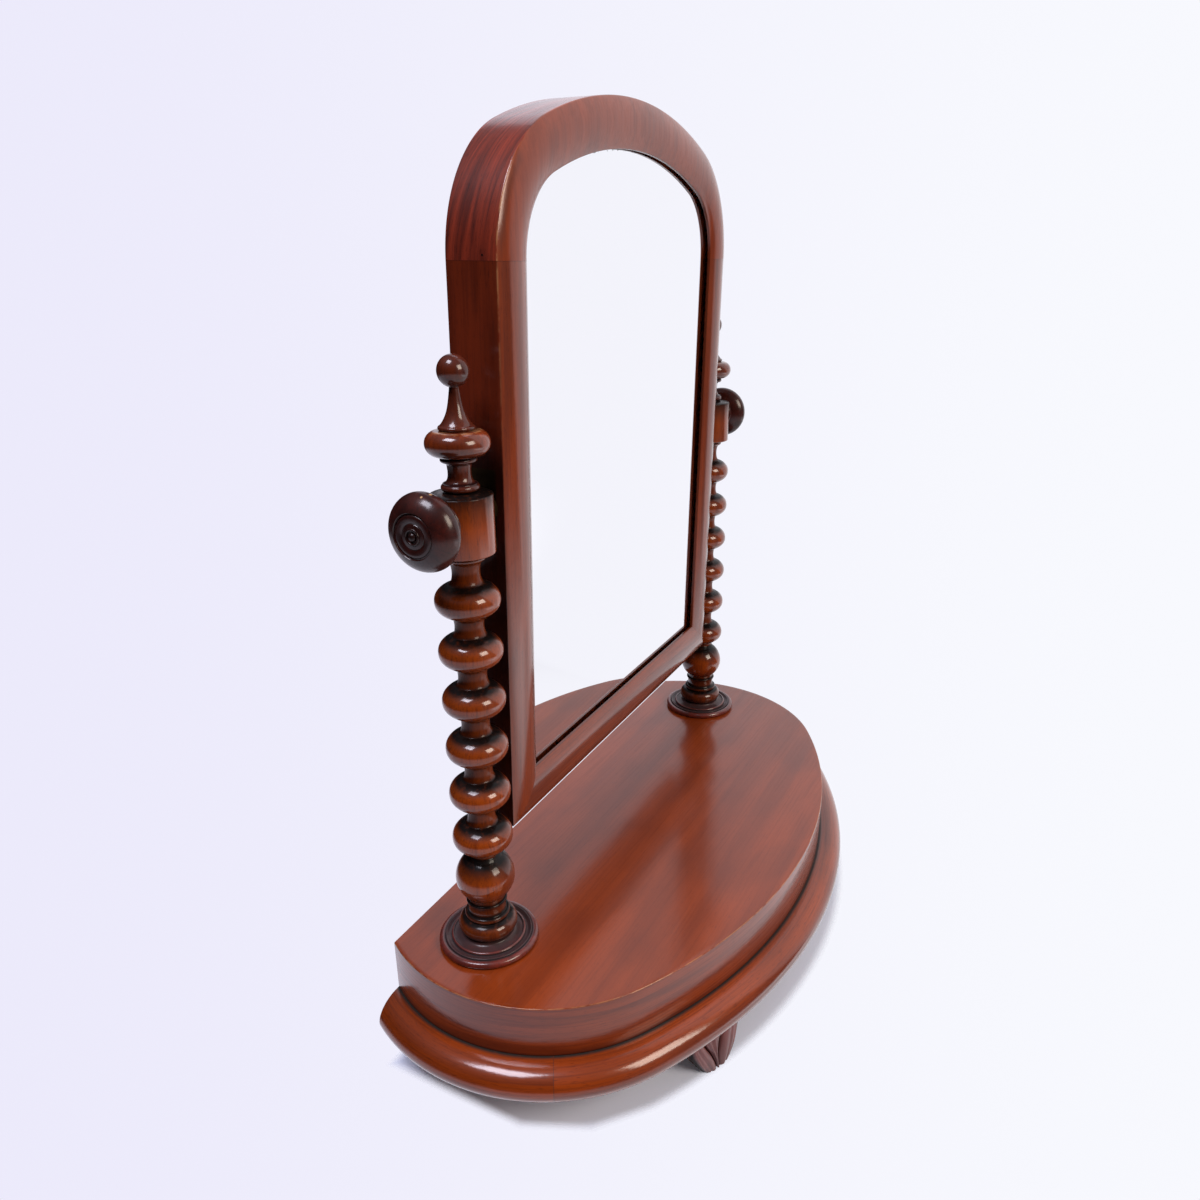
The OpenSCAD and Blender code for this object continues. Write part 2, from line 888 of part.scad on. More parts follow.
module knob_washer(side) {
    outward(side) translate([0, 0, knob_play]) difference() {
        cylinder(r = washer_r, h = knob_washer_t);
        translate([0, 0, -1]) cylinder(r = screw_r + bore_gap, h = knob_washer_t + 2);
    }
}

module knob_washer_left() {
    color("goldenrod") knob_washer(-1);
}

module knob_washer_right() {
    color("goldenrod") knob_washer(1);
}

module knob(side) {
    difference() {
        outward(side) translate([0, 0, knob_back]) rotate_extrude() polygon(knob_profile());
        clamp_screw(side);
    }
}

module knob_left() {
    color("maroon") knob(-1);
}

module knob_right() {
    color("maroon") knob(1);
}

module clamp_screw(side) {
    inner_x = frame_half - screw_reach;
    outer_x = column_x + block_r + knob_wide;
    translate([side * inner_x, column_y, pivot_z])
        rotate([0, side * 90, 0]) cylinder(r = screw_r, h = outer_x - inner_x);
}

module clamp_screw_left() {
    color("dimgray") clamp_screw(-1);
}

module clamp_screw_right() {
    color("dimgray") clamp_screw(1);
}

base_board();
base_moulding_front();
base_moulding_corner_left();
base_moulding_corner_right();
base_moulding_side_left();
base_moulding_side_right();
plinth_core();
plinth_edge_veneer();
plinth_top_veneer();
front_foot_left();
front_foot_right();
rear_foot_left();
rear_foot_right();
foot_screws();
column_screws();
column_collar_left();
column_collar_right();
column_left();
column_right();
finial_left();
finial_right();
frame_stile_left();
frame_stile_right();
frame_bottom_rail();
frame_haunch_left();
frame_haunch_right();
frame_crown();
frame_dowels();
mirror_glass();
glass_blocks();
backboard();
backboard_screws();
pivot_plate_left();
pivot_plate_right();
pivot_plate_screws();
pivot_washer_left();
pivot_washer_right();
knob_washer_left();
knob_washer_right();
knob_left();
knob_right();
clamp_screw_left();
clamp_screw_right();
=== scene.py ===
import bpy
import numpy as np
from mathutils import Matrix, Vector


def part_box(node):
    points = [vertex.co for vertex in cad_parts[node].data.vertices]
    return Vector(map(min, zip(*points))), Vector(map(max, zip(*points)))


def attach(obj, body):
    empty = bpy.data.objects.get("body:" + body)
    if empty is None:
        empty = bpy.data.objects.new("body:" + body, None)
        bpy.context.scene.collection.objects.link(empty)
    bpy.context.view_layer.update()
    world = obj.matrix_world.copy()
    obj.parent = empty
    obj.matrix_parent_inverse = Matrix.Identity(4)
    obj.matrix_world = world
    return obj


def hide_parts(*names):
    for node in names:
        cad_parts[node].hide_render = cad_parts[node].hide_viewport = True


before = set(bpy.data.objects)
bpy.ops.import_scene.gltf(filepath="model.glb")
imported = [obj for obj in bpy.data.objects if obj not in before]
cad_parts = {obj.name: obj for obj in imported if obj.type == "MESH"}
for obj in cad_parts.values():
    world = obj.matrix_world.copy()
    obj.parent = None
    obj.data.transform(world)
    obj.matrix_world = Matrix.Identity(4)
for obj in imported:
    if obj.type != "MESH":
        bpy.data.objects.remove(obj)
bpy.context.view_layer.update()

# The moulded base. Five lengths of half-round mahogany moulding are glued edge to edge round a
# softwood board, with butt joints that show as fine dark lines; the rear edge is left flat.
MM = 0.001
end_r = 113 * MM
plinth_front = 145 * MM
joint_angle = 60.0
strip_w = 30 * MM
nose_depth = 15 * MM
joint_line = 0.35 * MM


def corners(node):
    """Lowest and highest corner of a piece of the frame, as two arrays."""
    return tuple(np.array(corner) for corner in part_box(node))


top_low, top_high = corners("plinth_top_veneer")
base_low, base_high = corners("base_moulding_front")
plinth_half = top_high[0]
back_y = top_high[1]
widest_y = top_low[1] + plinth_front
base_bottom, base_top = base_low[2], base_high[2]
end_x = plinth_half - end_r
front_r = (plinth_half**2 + plinth_front**2 - 2 * plinth_half * end_r) / (2 * (plinth_front - end_r))
front_y = widest_y - plinth_front + front_r
nose_out = widest_y - plinth_front - base_low[1]
front_angle = np.degrees(np.arctan2(end_x, front_y - widest_y))


def outline(angle, offset):
    """Point of the plinth's plan, grown by offset, where its outward normal points angle degrees
    away from straight ahead: centre + (radius + offset)(sin, -cos), on the front or an end arc."""
    on_front = np.abs(angle) <= front_angle
    radius = np.where(on_front, front_r, end_r) + offset
    centre_x = np.where(on_front, 0.0, np.sign(angle) * end_x)
    centre_y = np.where(on_front, front_y, widest_y)
    turn = np.radians(angle)
    return centre_x + radius * np.sin(turn), centre_y - radius * np.cos(turn)


def rear_angle(offset):
    """Angle at which an end arc, grown by offset, meets the plinth's flat back."""
    return 90 + np.degrees(np.arcsin((back_y - widest_y) / (end_r + offset)))


def to_flat_back(angles, offset):
    """Angles stretched past 90 degrees, so that an arc grown by offset ends at the flat back too:
    angle (1 + share (rear angle of the offset / rear angle of the plinth - 1)), where share goes
    from 0 at 90 degrees to 1 at the plinth's own rear angle."""
    share = np.clip((np.abs(angles) - 90) / (rear_angle(0) - 90), 0, 1)
    return angles * (1 + share * (rear_angle(offset) / rear_angle(0) - 1))


def outline_angles(first, last, spacing=2.5 * MM):
    """Angles from first to last, about one spacing apart along the arcs. The angle where an end arc
    meets the front arc is always one of them."""
    knots = np.array([-rear_angle(0), -front_angle, front_angle, rear_angle(0)])
    knots = np.unique(np.clip(np.concatenate([[first, last], knots]), first, last))
    spans = []
    for low, high in zip(knots[:-1], knots[1:]):
        radius = front_r if abs(low + high) / 2 < front_angle else end_r
        steps = max(2, int(np.radians(high - low) * radius / spacing))
        spans.append(np.linspace(low, high, steps, endpoint=False))
    return np.append(np.concatenate(spans), last)


def skin(name, rings, along=None, around=None, soft_angle=32, **marks):
    """Closed surface over rings, an array of stations by points by three coordinates: quads join
    each ring to the next, flat faces close the two ends, and the winding is chosen so that the
    enclosed volume is positive. The map "grain" holds the distances along and around."""
    stations, points = rings.shape[:2]
    i, j = np.meshgrid(np.arange(stations - 1), np.arange(points), indexing="ij")
    k = (j + 1) % points
    quads = np.stack([i * points + j, i * points + k, (i + 1) * points + k, (i + 1) * points + j], -1)
    quads = quads.reshape(-1, 4)
    a, b, c, d = (rings.reshape(-1, 3)[quads[:, corner]] for corner in range(4))
    volume = np.einsum("ij,ij->i", a, np.cross(b, c) + np.cross(c, d)).sum()
    ends = [np.arange(points)[::-1], (stations - 1) * points + np.arange(points)]
    if along is None:
        along = np.zeros(stations)
    if around is None:
        around = np.zeros(points + 1)
    corner_u = np.stack([along[i], along[i], along[i + 1], along[i + 1]], -1).reshape(-1, 4)
    corner_v = np.stack([around[j], around[j + 1], around[j + 1], around[j]], -1).reshape(-1, 4)
    if volume < 0:
        quads, corner_u, corner_v = quads[:, ::-1], corner_u[:, ::-1], corner_v[:, ::-1]
        ends = [end[::-1] for end in ends]
    mesh = bpy.data.meshes.new(name)
    mesh.from_pydata(rings.reshape(-1, 3).tolist(), [], quads.tolist() + [end.tolist() for end in ends])
    cap_u = np.concatenate([np.full(points, along[0]), np.full(points, along[-1])])
    cap_v = np.concatenate([around[end % points] for end in ends])
    grain = np.column_stack([np.append(corner_u.ravel(), cap_u), np.append(corner_v.ravel(), cap_v)])
    mesh.uv_layers.new(name="grain").data.foreach_set("uv", grain.ravel().astype(np.float32))
    for mark, values in marks.items():
        layer = mesh.attributes.new(mark, "FLOAT", "POINT")
        everywhere = np.broadcast_to(values, (stations, points))
        layer.data.foreach_set("value", everywhere.ravel().astype(np.float32))
    mesh.shade_smooth()
    mesh.set_sharp_from_angle(angle=np.radians(soft_angle))
    piece = bpy.data.objects.new(name, mesh)
    bpy.context.scene.collection.objects.link(piece)
    return piece


def measure(points):
    """Distance travelled along a row of points, from 0 at the first."""
    steps = np.linalg.norm(np.diff(points, axis=0), axis=1)
    return np.concatenate([[0], np.cumsum(steps)])


def measure_round(section):
    """Distance travelled round a closed section, from 0 at its first point back to that point."""
    return measure(np.vstack([section, section[:1]]))


def curve_points(centre, radii, start, stop, steps=16):
    """Arc of an ellipse: centre + (radius cos t, radius sin t), t from start to stop degrees."""
    t = np.radians(np.linspace(start, stop, steps + 1))
    return np.column_stack([centre[0] + radii[0] * np.cos(t), centre[1] + radii[1] * np.sin(t)])


def plan_sweep(section, first, last):
    """Rings of a section (offset, height) carried round the plan: the angle of each station is
    stretched so that the ends that reach the flat back are cut along it. The stations next to the
    ends stand a joint's width from them."""
    angles = outline_angles(first, last)
    angles[[1, -2]] = angles[[0, -1]] + np.degrees(joint_line / end_r) * np.array([1, -1])
    offset, height = section[None, :, 0], section[:, 1]
    rings = np.empty((len(angles), len(section), 3))
    rings[..., 0], rings[..., 1] = outline(to_flat_back(angles[:, None], offset), offset)
    rings[..., 2] = height
    middle_line = np.column_stack(outline(angles, 0 * angles))
    return rings, measure(middle_line)


nose_middle = (base_bottom + base_top) / 2
nose_half = (base_top - base_bottom) / 2
moulding_section = np.vstack([
    [[nose_out - strip_w, base_bottom + 0.2 * MM],
     [nose_out - nose_depth - 3 * MM, base_bottom + 0.1 * MM]],
    curve_points((nose_out - nose_depth, nose_middle), (nose_depth, nose_half), -90, 90, 40),
    [[nose_out - nose_depth - 2 * MM, base_top], [nose_out - strip_w, base_top]],
])


def add_node(tree, kind, inputs=None, **settings):
    """Adds a node, sets its properties, and fills each named input with a value or a link."""
    node = tree.nodes.new(kind)
    for setting, value in settings.items():
        setattr(node, setting, value)
    for socket, value in (inputs or {}).items():
        if isinstance(value, bpy.types.NodeSocket):
            tree.links.new(value, node.inputs[socket])
        else:
            node.inputs[socket].default_value = value
    return node


def paint(colour):
    """Linear colour, with full alpha, of an sRGB hex value such as #7a3310."""
    channels = np.array([int(colour[i:i + 2], 16) / 255 for i in (1, 3, 5)])
    linear = np.where(channels <= 0.04045, channels / 12.92, ((channels + 0.055) / 1.055) ** 2.4)
    return (*linear.tolist(), 1.0)


def empty_material(name):
    """A new material without nodes, and its node tree."""
    material = bpy.data.materials.new(name)
    material.use_nodes = True
    material.node_tree.nodes.clear()
    return material, material.node_tree


def polished_mahogany(name, pale, deep, source="Object", grain=(0, 0, 0), figure=16, contrast=0.6,
                      streaks=0.5, gloss=0.1, coat=1.0, waviness=0.25, shift=(0, 0, 0), soil_and_shade_colour="#120b0a",
                      chips=()):
    """Mahogany under shellac. grain turns the pattern's own X axis along the fibres; figure is the
    width of the broad ribbons in millimetres and contrast how far they reach the deep colour;
    streaks is the strength of the fibres. The fibres are drawn 1.3 mm wide and the pores 0.5 mm,
    several times their real width, which is as fine as the picture can show. The mark
    grime darkens towards the soil colour and dulls: dirt, together with painted shade and
    painted dark reflections. matt dulls alone. The mark wear lightens edges: wear,
    together with painted highlights. chips are (place, radius, colour) triples."""
    material, tree = empty_material(name)
    if source == "Object":
        place = add_node(tree, "ShaderNodeTexCoord").outputs["Object"]
    else:
        place = add_node(tree, "ShaderNodeUVMap", uv_map="grain").outputs["UV"]
    board = add_node(tree, "ShaderNodeMapping", {"Vector": place, "Rotation": grain, "Location": shift})

    def figure_noise(length, width, detail, distortion=0.0):
        """Noise drawn out along the fibres, with features so many millimetres long and wide."""
        stretched = add_node(tree, "ShaderNodeMapping", {
            "Vector": board.outputs[0], "Scale": (1 / (length * MM), 1 / (width * MM), 1 / (width * MM))})
        return add_node(tree, "ShaderNodeTexNoise", {
            "Vector": stretched.outputs[0], "Scale": 1.0, "Detail": detail, "Distortion": distortion,
        }).outputs["Fac"]

    wear, grime, matt = (add_node(tree, "ShaderNodeAttribute", attribute_name=mark).outputs["Fac"]
                         for mark in ("wear", "grime", "matt"))
    fibres = figure_noise(55, 1.3, 4.0, 0.2)
    pores = figure_noise(6, 0.5, 2.0)
    patchy = figure_noise(9, 5, 3.0)
    # Each layer: its pattern, where that begins to tell and where it tells fully, how strongly, and
    # the colour it brings. They are the ribbons, the fibres, faint clouds, the pores, and the wear
    # together with painted highlights.
    layers = [
        (figure_noise(18 * figure, figure, 3.0, 0.6), 0.4, 0.68, contrast, deep),
        (fibres, 0.45, 0.72, streaks, deep),
        (figure_noise(70, 45, 2.0), 0.4, 0.7, 0.25, "#3c130b"),
        (pores, 0.58, 0.7, streaks, "#22090a"),
        (patchy, 0.35, 0.6, wear, "#c08a5c"),
    ]
    colour = paint(pale)
    for pattern, begins, full, most, tone in layers:
        share = add_node(tree, "ShaderNodeMapRange", {
            "Value": pattern, "From Min": begins, "From Max": full, "To Max": most,
        }, interpolation_type="SMOOTHSTEP").outputs["Result"]
        colour = add_node(tree, "ShaderNodeMix", {0: share, 6: colour, 7: paint(tone)},
                          data_type="RGBA").outputs[2]
    for spot, radius, bare in chips:
        own_place = add_node(tree, "ShaderNodeTexCoord").outputs["Object"]
        away = add_node(tree, "ShaderNodeVectorMath", {0: own_place, 1: spot}, operation="DISTANCE")
        ragged = add_node(tree, "ShaderNodeMath", {0: patchy, 1: 1.6 * radius, 2: away.outputs["Value"]},
                          operation="MULTIPLY_ADD").outputs[0]
        share = add_node(tree, "ShaderNodeMapRange", {
            "Value": ragged, "From Min": 1.5 * radius, "From Max": 1.8 * radius,
            "To Min": 1.0, "To Max": 0.0}, interpolation_type="SMOOTHSTEP").outputs["Result"]
        colour = add_node(tree, "ShaderNodeMix", {0: share, 6: colour, 7: paint(bare)},
                          data_type="RGBA").outputs[2]
    crumbs = add_node(tree, "ShaderNodeMapRange", {
        "Value": figure_noise(5, 3, 3.0), "From Min": 0.15, "From Max": 0.5, "To Min": 0.75, "To Max": 1.0,
    }, interpolation_type="SMOOTHSTEP").outputs["Result"]
    # The darkening mark, broken into crumbs, turns the colour towards the soil colour and dulls the coat:
    # dirt, together with painted shade and painted dark reflections.
    soiling_and_shade = add_node(tree, "ShaderNodeMath", {0: grime, 1: crumbs}, operation="MULTIPLY").outputs[0]
    colour = add_node(tree, "ShaderNodeMix", {0: soiling_and_shade, 6: colour, 7: paint(soil_and_shade_colour)},
                      data_type="RGBA").outputs[2]
    dulled = add_node(tree, "ShaderNodeMath", {0: soiling_and_shade, 1: matt}, operation="MAXIMUM").outputs[0]
    film = add_node(tree, "ShaderNodeMapRange", {
        "Value": dulled, "From Min": 0.4, "From Max": 1.0, "To Min": coat, "To Max": 0.25 * coat,
    }, interpolation_type="SMOOTHSTEP").outputs["Result"]
    roughness = add_node(tree, "ShaderNodeMapRange", {
        "Value": fibres, "From Min": 0.3, "From Max": 0.7, "To Min": 0.34, "To Max": 0.5,
    }, interpolation_type="SMOOTHSTEP").outputs["Result"]
    relief = add_node(tree, "ShaderNodeBump", {"Height": pores, "Strength": 0.25, "Distance": 0.05 * MM})
    hand_rubbed = add_node(tree, "ShaderNodeBump", {
        "Height": figure_noise(9, 6, 2.0), "Strength": waviness, "Distance": 0.35 * MM})
    shader = add_node(tree, "ShaderNodeBsdfPrincipled", {
        "Base Color": colour, "Roughness": roughness, "Normal": relief.outputs[0],
        "Specular IOR Level": 0.07, "Coat Weight": film, "Coat Roughness": gloss, "Coat IOR": 1.5,
        "Coat Normal": hand_rubbed.outputs[0]})
    add_node(tree, "ShaderNodeOutputMaterial", {"Surface": shader.outputs[0]})
    return material


def dress(piece, material, body, slot, *nodes):
    """Gives a new piece its finish and the body it rides on, and hides the pieces of the frame it stands
    for.
    """
    piece.data.materials.append(material)
    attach(piece, body)
    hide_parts(*nodes)


# Shellac on long grain gives the moulding a red-brown gloss over dark streaks; its ledge is
# darkened grey, and grey dust has settled in the butt joints at its ends. The front length and the
# two beside it are drawn as one, because no joint shows between them.
moulding_wood = polished_mahogany("french_polished_moulding", "#8a370b", "#4e1905", "UV", gloss=0.15,
                                  contrast=0.7, streaks=0.45, soil_and_shade_colour="#2c2623")
joint_dirt = 0.7
next_board = 0.7
strip_ends = np.array([-rear_angle(0), -joint_angle, joint_angle, rear_angle(0)])
strips = {
    "left_base_strip": ["base_moulding_side_left"],
    "front_base_strip": ["base_moulding_front", "base_moulding_corner_left", "base_moulding_corner_right"],
    "right_base_strip": ["base_moulding_side_right"],
}
on_ledge = (moulding_section[:, 0] < 2 * MM) & (moulding_section[:, 1] > nose_middle)
for length, (strip, nodes) in enumerate(strips.items()):
    rings, along = plan_sweep(moulding_section, strip_ends[length], strip_ends[length + 1])
    grime = np.tile(np.where(on_ledge, 1.0, 0.0), (len(rings), 1))
    grime[[0, -1]] = joint_dirt
    piece = skin(strip, rings, along + length * next_board, measure_round(moulding_section), grime=grime)
    dress(piece, moulding_wood, "stand", "mahogany", *nodes)


# The plinth's upper tier. A softwood core is veneered: a long-grained strip is bent round the front
# and ends, and one sheet of long-figured mahogany lies on top, its edge sharp and drawn pale: wear
# together with a painted highlight.
veneer_t = top_high[2] - top_low[2]
band_low, band_high = corners("plinth_edge_veneer")
top_arris = 0.5 * MM
dark_line_height = 1.2 * MM

band_section = np.vstack([
    [[-veneer_t, band_low[2]], [0, band_low[2]]],
    np.column_stack([np.zeros(10), np.linspace(band_low[2] + 1 * MM, band_high[2], 10)]),
    [[-veneer_t, band_high[2]]],
])
# The bent strip shows narrow ribbons along its length, and a dark line where it meets the ledge.
band_wood = polished_mahogany("bent_long_grain_veneer", "#86350f", "#4d180a", "UV", figure=7, streaks=0.4,
                              gloss=0.16, shift=(0.3, 0.05, 0))
rings, along = plan_sweep(band_section, -rear_angle(0), rear_angle(0))
foot_of_band = np.clip(1 - (band_section[:, 1] - band_low[2]) / dark_line_height, 0, 1)
dress(skin("plinth_band", rings, along, measure_round(band_section), grime=foot_of_band), band_wood,
      "stand", "mahogany", "plinth_edge_veneer")

# The top is drawn in eight outlines, from its lower edge over a rounded arris to a flat middle.
rim = curve_points((-top_arris, top_high[2] - top_arris), (top_arris, top_arris), 0, 90, 4)
rim = np.vstack([[[0, top_low[2]]], rim, [[-3 * MM, top_high[2]], [-40 * MM, top_high[2]]]])
angles = outline_angles(-rear_angle(0), rear_angle(0))
rings = np.empty((len(rim), len(angles), 3))
rings[..., 0], rings[..., 1] = outline(to_flat_back(angles[None, :], rim[:, :1]), rim[:, :1])
rings[..., 2] = rim[:, 1:]
# The rounded edge is drawn pale: wear together with a painted highlight.
rubbed_edge_and_highlight = np.zeros((len(rim), 1))
rubbed_edge_and_highlight[2:5] = 0.4
# The sheet on top shows broad ribbons, light and dark, under a polish dulled by years of use.
top_wood = polished_mahogany("long_figured_veneer", "#863610", "#561d09", grain=(0, 0, 0.03), figure=24,
                             contrast=0.45, streaks=0.25, gloss=0.17, waviness=0.15, shift=(0, 0.02, 0))
dress(skin("plinth_top", rings, wear=rubbed_edge_and_highlight), top_wood, "stand", "mahogany", "plinth_top_veneer")


# The two columns, each turned in one piece with a tenon: base ring, bead, ball, six bobbins and the
# plain block that carries the pivot. The hollows are dark with dirt. The shoulders and the top of the
# ball are painted black: dirt together with a painted reflection of a dark ceiling.
# Profiles of turned pieces are in millimetres: radius, and height above the plinth or the seat.
left_low, left_high = corners("column_left")
right_low, right_high = corners("column_right")
column_x = (right_low[0] + right_high[0]) / 2
column_y = (left_low[1] + left_high[1]) / 2
plinth_z = top_high[2]
pivot_z = sum(corners("knob_left"))[2] / 2
seat = (corners("column_collar_left")[1][2] - plinth_z) / MM
block_cap = 1.5
block_r = 17.1
block_top = (left_high[2] - plinth_z) / MM - block_cap
block_bottom = block_top - 32.5
low_neck = 11.5
neck_r = 8.2
neck_flare = 1.9
flared = neck_r + neck_flare
base_ring_half = 5.8
ball_middle = 47.5
ball_r = 18.2
ball_half = 17.5
ball_end = 63.1
bobbin_r = 18.3
bobbin_half = 10.9
bobbins = 6
first_bobbin = 76.7
last_bobbin = 228.6


def roll(height, radius, half, start=-90, stop=90, steps=14):
    """Rounded edge in millimetres: radius - half + half cos t, height + half sin t."""
    return curve_points((radius - half, height), (half, half), start, stop, steps)


def swelling(height, radius, half, below, above, fullness=1.0, steps=44):
    """Bobbin in millimetres between necks of radius below and above: radius cos t, height +
    half sin t, where fullness under 1 squares the curve towards its shoulders."""
    t = np.linspace(-np.arccos((below / radius) ** (1 / fullness)),
                    np.arccos((above / radius) ** (1 / fullness)), steps + 1)
    return np.column_stack([radius * np.cos(t) ** fullness,
                            height + half * np.sign(t) * np.abs(np.sin(t)) ** fullness])


def hollow(start, stop, steps=12):
    """Quarter of an ellipse that leaves start sideways and reaches stop upright."""
    t = np.radians(np.linspace(0, 90, steps + 1))
    return np.column_stack([start[0] + (stop[0] - start[0]) * np.sin(t),
                            start[1] + (stop[1] - start[1]) * (1 - np.cos(t))])


def waist(low, high, neck, flare=neck_flare, steps=14):
    """Hollow between two bobbins, in millimetres: neck + flare - flare cos t, middle + half sin t."""
    t = np.linspace(-np.pi / 2, np.pi / 2, steps + 1)[1:-1]
    middle, half = (low + high) / 2, (high - low) / 2
    return np.column_stack([neck + flare - flare * np.cos(t), middle + half * np.sin(t)])


def dirt_and_dark_reflection(profile, clean_above=1e9, clean_below=-1e9, strength=1.0, thin=0.0, shoulders=1.0):
    """Darkening on a turned profile: on shoulders that face up towards a neck, by how far their
    normal rises, creeping 2.3 mm beyond them, which is dirt together with a painted reflection of a
    dark ceiling; in a narrow line along every sharp inner corner; and faintly all over the parts of a
    smaller radius than thin."""
    step = np.gradient(profile, axis=0)
    length = np.maximum(np.linalg.norm(step, axis=1), 1e-9)
    rise = -step[:, 0] / length
    heading = np.unwrap(np.arctan2(step[:, 1], step[:, 0]))
    travel = measure(profile)
    inward_turn = np.clip(-np.gradient(heading) - 0.3, 0, 1)
    apart = np.abs(travel[:, None] - travel[None, :])
    shoulder = np.clip((rise - 0.64) / 0.22, 0, 1) * shoulders
    creep = np.max(shoulder * np.exp(-(apart / 2.3) ** 2), axis=1)
    creep = np.maximum(creep, 0.4 * np.clip((thin - profile[:, 0]) / 1.5, 0, 1))
    soiling_and_shade = np.clip(creep + 1.1 * (np.exp(-(apart / 0.9) ** 2) @ inward_turn), 0, 1) * strength
    height = profile[:, 1]
    return soiling_and_shade * np.clip((clean_above - height) / 3, 0, 1) * np.clip((height - clean_below) / 3, 0, 1)


def turned(name, profile, to_place, segments=112, **marks):
    """Turned piece: a profile (radius, height) in millimetres is spun round its axis, closed at
    both ends, and set in place by to_place, which takes points with the axis along Z."""
    spin = np.linspace(0, 2 * np.pi, segments, endpoint=False)
    radius, height = profile[:, 0] * MM, profile[:, 1] * MM
    rings = np.stack([radius[:, None] * np.cos(spin), radius[:, None] * np.sin(spin),
                      np.repeat(height[:, None], segments, 1)], -1)
    marks = {mark: values[:, None] for mark, values in marks.items()}
    return skin(name, to_place(rings), measure(profile) * MM, np.linspace(0, 0.1, segments + 1), 38, **marks)


def above_plinth(hand, height=0.0):
    """Gives the function that carries a turned piece to the axis of the left (-1) or right (1)
    column, with its foot so many metres above the plinth."""
    def carry(rings):
        return rings + np.array([hand * column_x, column_y, plinth_z + height])
    return carry


pitch = (last_bobbin - first_bobbin) / (bobbins - 1)
bobbin_string = []
for i in range(bobbins):
    bobbin = swelling(first_bobbin + i * pitch, bobbin_r, bobbin_half, flared, flared, 0.9)
    if bobbin_string:
        bobbin_string.append(waist(bobbin_string[-1][-1, 1], bobbin[0, 1], neck_r))
    bobbin_string.append(bobbin)
column_profile = np.vstack([
    [[0.3, seat], [8, seat]],
    roll(seat + base_ring_half, bobbin_r, base_ring_half, -90, 74, 26),
    roll(seat + 13.5, 14, 1.8, -65, 90),
    [[low_neck + 0.2, seat + 15.9], [low_neck, seat + 18], [low_neck, seat + 21.6]],
    roll(seat + 23, low_neck + 1.2, 1.1),
    swelling(ball_middle, ball_r, ball_half, low_neck + 0.2, neck_r + 2.2),
    waist(ball_end, bobbin_string[0][0, 1], neck_r + 0.6, 1.3),
    *bobbin_string,
    waist(bobbin_string[-1][-1, 1], block_bottom - 4, neck_r - 0.5, 2.4),
    roll(block_bottom - 2.2, 11.6, 1.7, -90, 60),
    [[10.8, block_bottom], [15.6, block_bottom]],
    curve_points((block_r - 0.9, block_bottom + 0.9), (0.9, 0.9), -90, 0, 6),
    [[block_r, (block_bottom + block_top) / 2]],
    curve_points((block_r - 0.7, block_top - 0.7), (0.7, 0.7), 0, 70, 6),
    [[12.5, block_top + 0.9], [9, block_top + 1.4], [0.3, block_top + block_cap]],
])
# Shellac laid on in the lathe: the bobbins are bright and orange-brown, the necks between them dull.
column_wood = polished_mahogany("french_polished_turning", "#8e3c0d", "#581e08", grain=(0, np.pi / 2, 0),
                                figure=11, gloss=0.12, waviness=0.12)
up_column = column_profile[:, 1]
dirty_foot = 0.55 * np.clip((34 - up_column) / 4, 0, 1)
# The ball's upper part is painted black: dirt together with a painted reflection of a dark ceiling.
ball_top_dirt_and_reflection = np.clip((up_column - 51) / 9, 0, 1) * (up_column < ball_end + 0.9)
column_grime = np.maximum.reduce([dirt_and_dark_reflection(column_profile, thin=flared + 1), dirty_foot, ball_top_dirt_and_reflection])
matt_necks = np.clip((flared + 0.5 - column_profile[:, 0]) / 0.5, 0, 1)
for side, hand in (("left", -1), ("right", 1)):
    column = turned(f"bobbin_column_{side}", column_profile, above_plinth(hand), grime=column_grime,
                    matt=matt_necks)
    dress(column, column_wood, "stand", "mahogany", f"column_{side}")


# The collars under the columns and the finials above them. The collars are stained nearly black;
# a finial is turned with a dowel: foot, neck, bead, flattened ring, hollow spire and ball.
collar_profile = np.vstack([
    [[9.2, 0], [27, 0]],
    roll(2.3, 31.2, 2.3, -90, 90, 16),
    [[27.8, 4.5]], roll(4.7, 27.3, 0.6, -60, 120, 8),
    [[25.2, 4.3], [24.3, 4.1]],
    roll(5.0, 23.4, 1.1, -40, 110, 10),
    hollow((21.4, 5.5), (16.4, seat), 14),
    [[9.2, seat]],
])
ring_middle = 25.3
ring_top = 31.9
up_spire = np.linspace(1, 0, 26)
finial_profile = np.vstack([
    [[0.3, 0], [7, 0]],
    roll(2.2, 10.3, 1.8, -90, 60),
    hollow((9.2, 4.3), (6.2, 9.2)),
    [[6.2, 11], [6.5, 14.2], [7.6, 15.3]],
    roll(16.8, 9.8, 1.4, -90, 90),
    roll(ring_middle, 17.2, 6.6, -88, 84, 44),
    [[9.3, ring_top]],
    roll(33.2, 9.8, 1.1, -80, 80),
    np.column_stack([2.6 + 2.7 * up_spire + 3.3 * up_spire**4, 53.1 - 18.6 * up_spire]),
    curve_points((0, 61.5), (8.4, 8.4), -72, 88, 44),
])
# Black stain under thin polish makes the collars purple-brown; their hollows are painted grey-black, dust
# together with a painted reflection.
ebonised = polished_mahogany("ebonised_turning", "#7a2c20", "#451813", grain=(0, np.pi / 2, 0), figure=8,
                             gloss=0.2, waviness=0.2, soil_and_shade_colour="#332d2f")
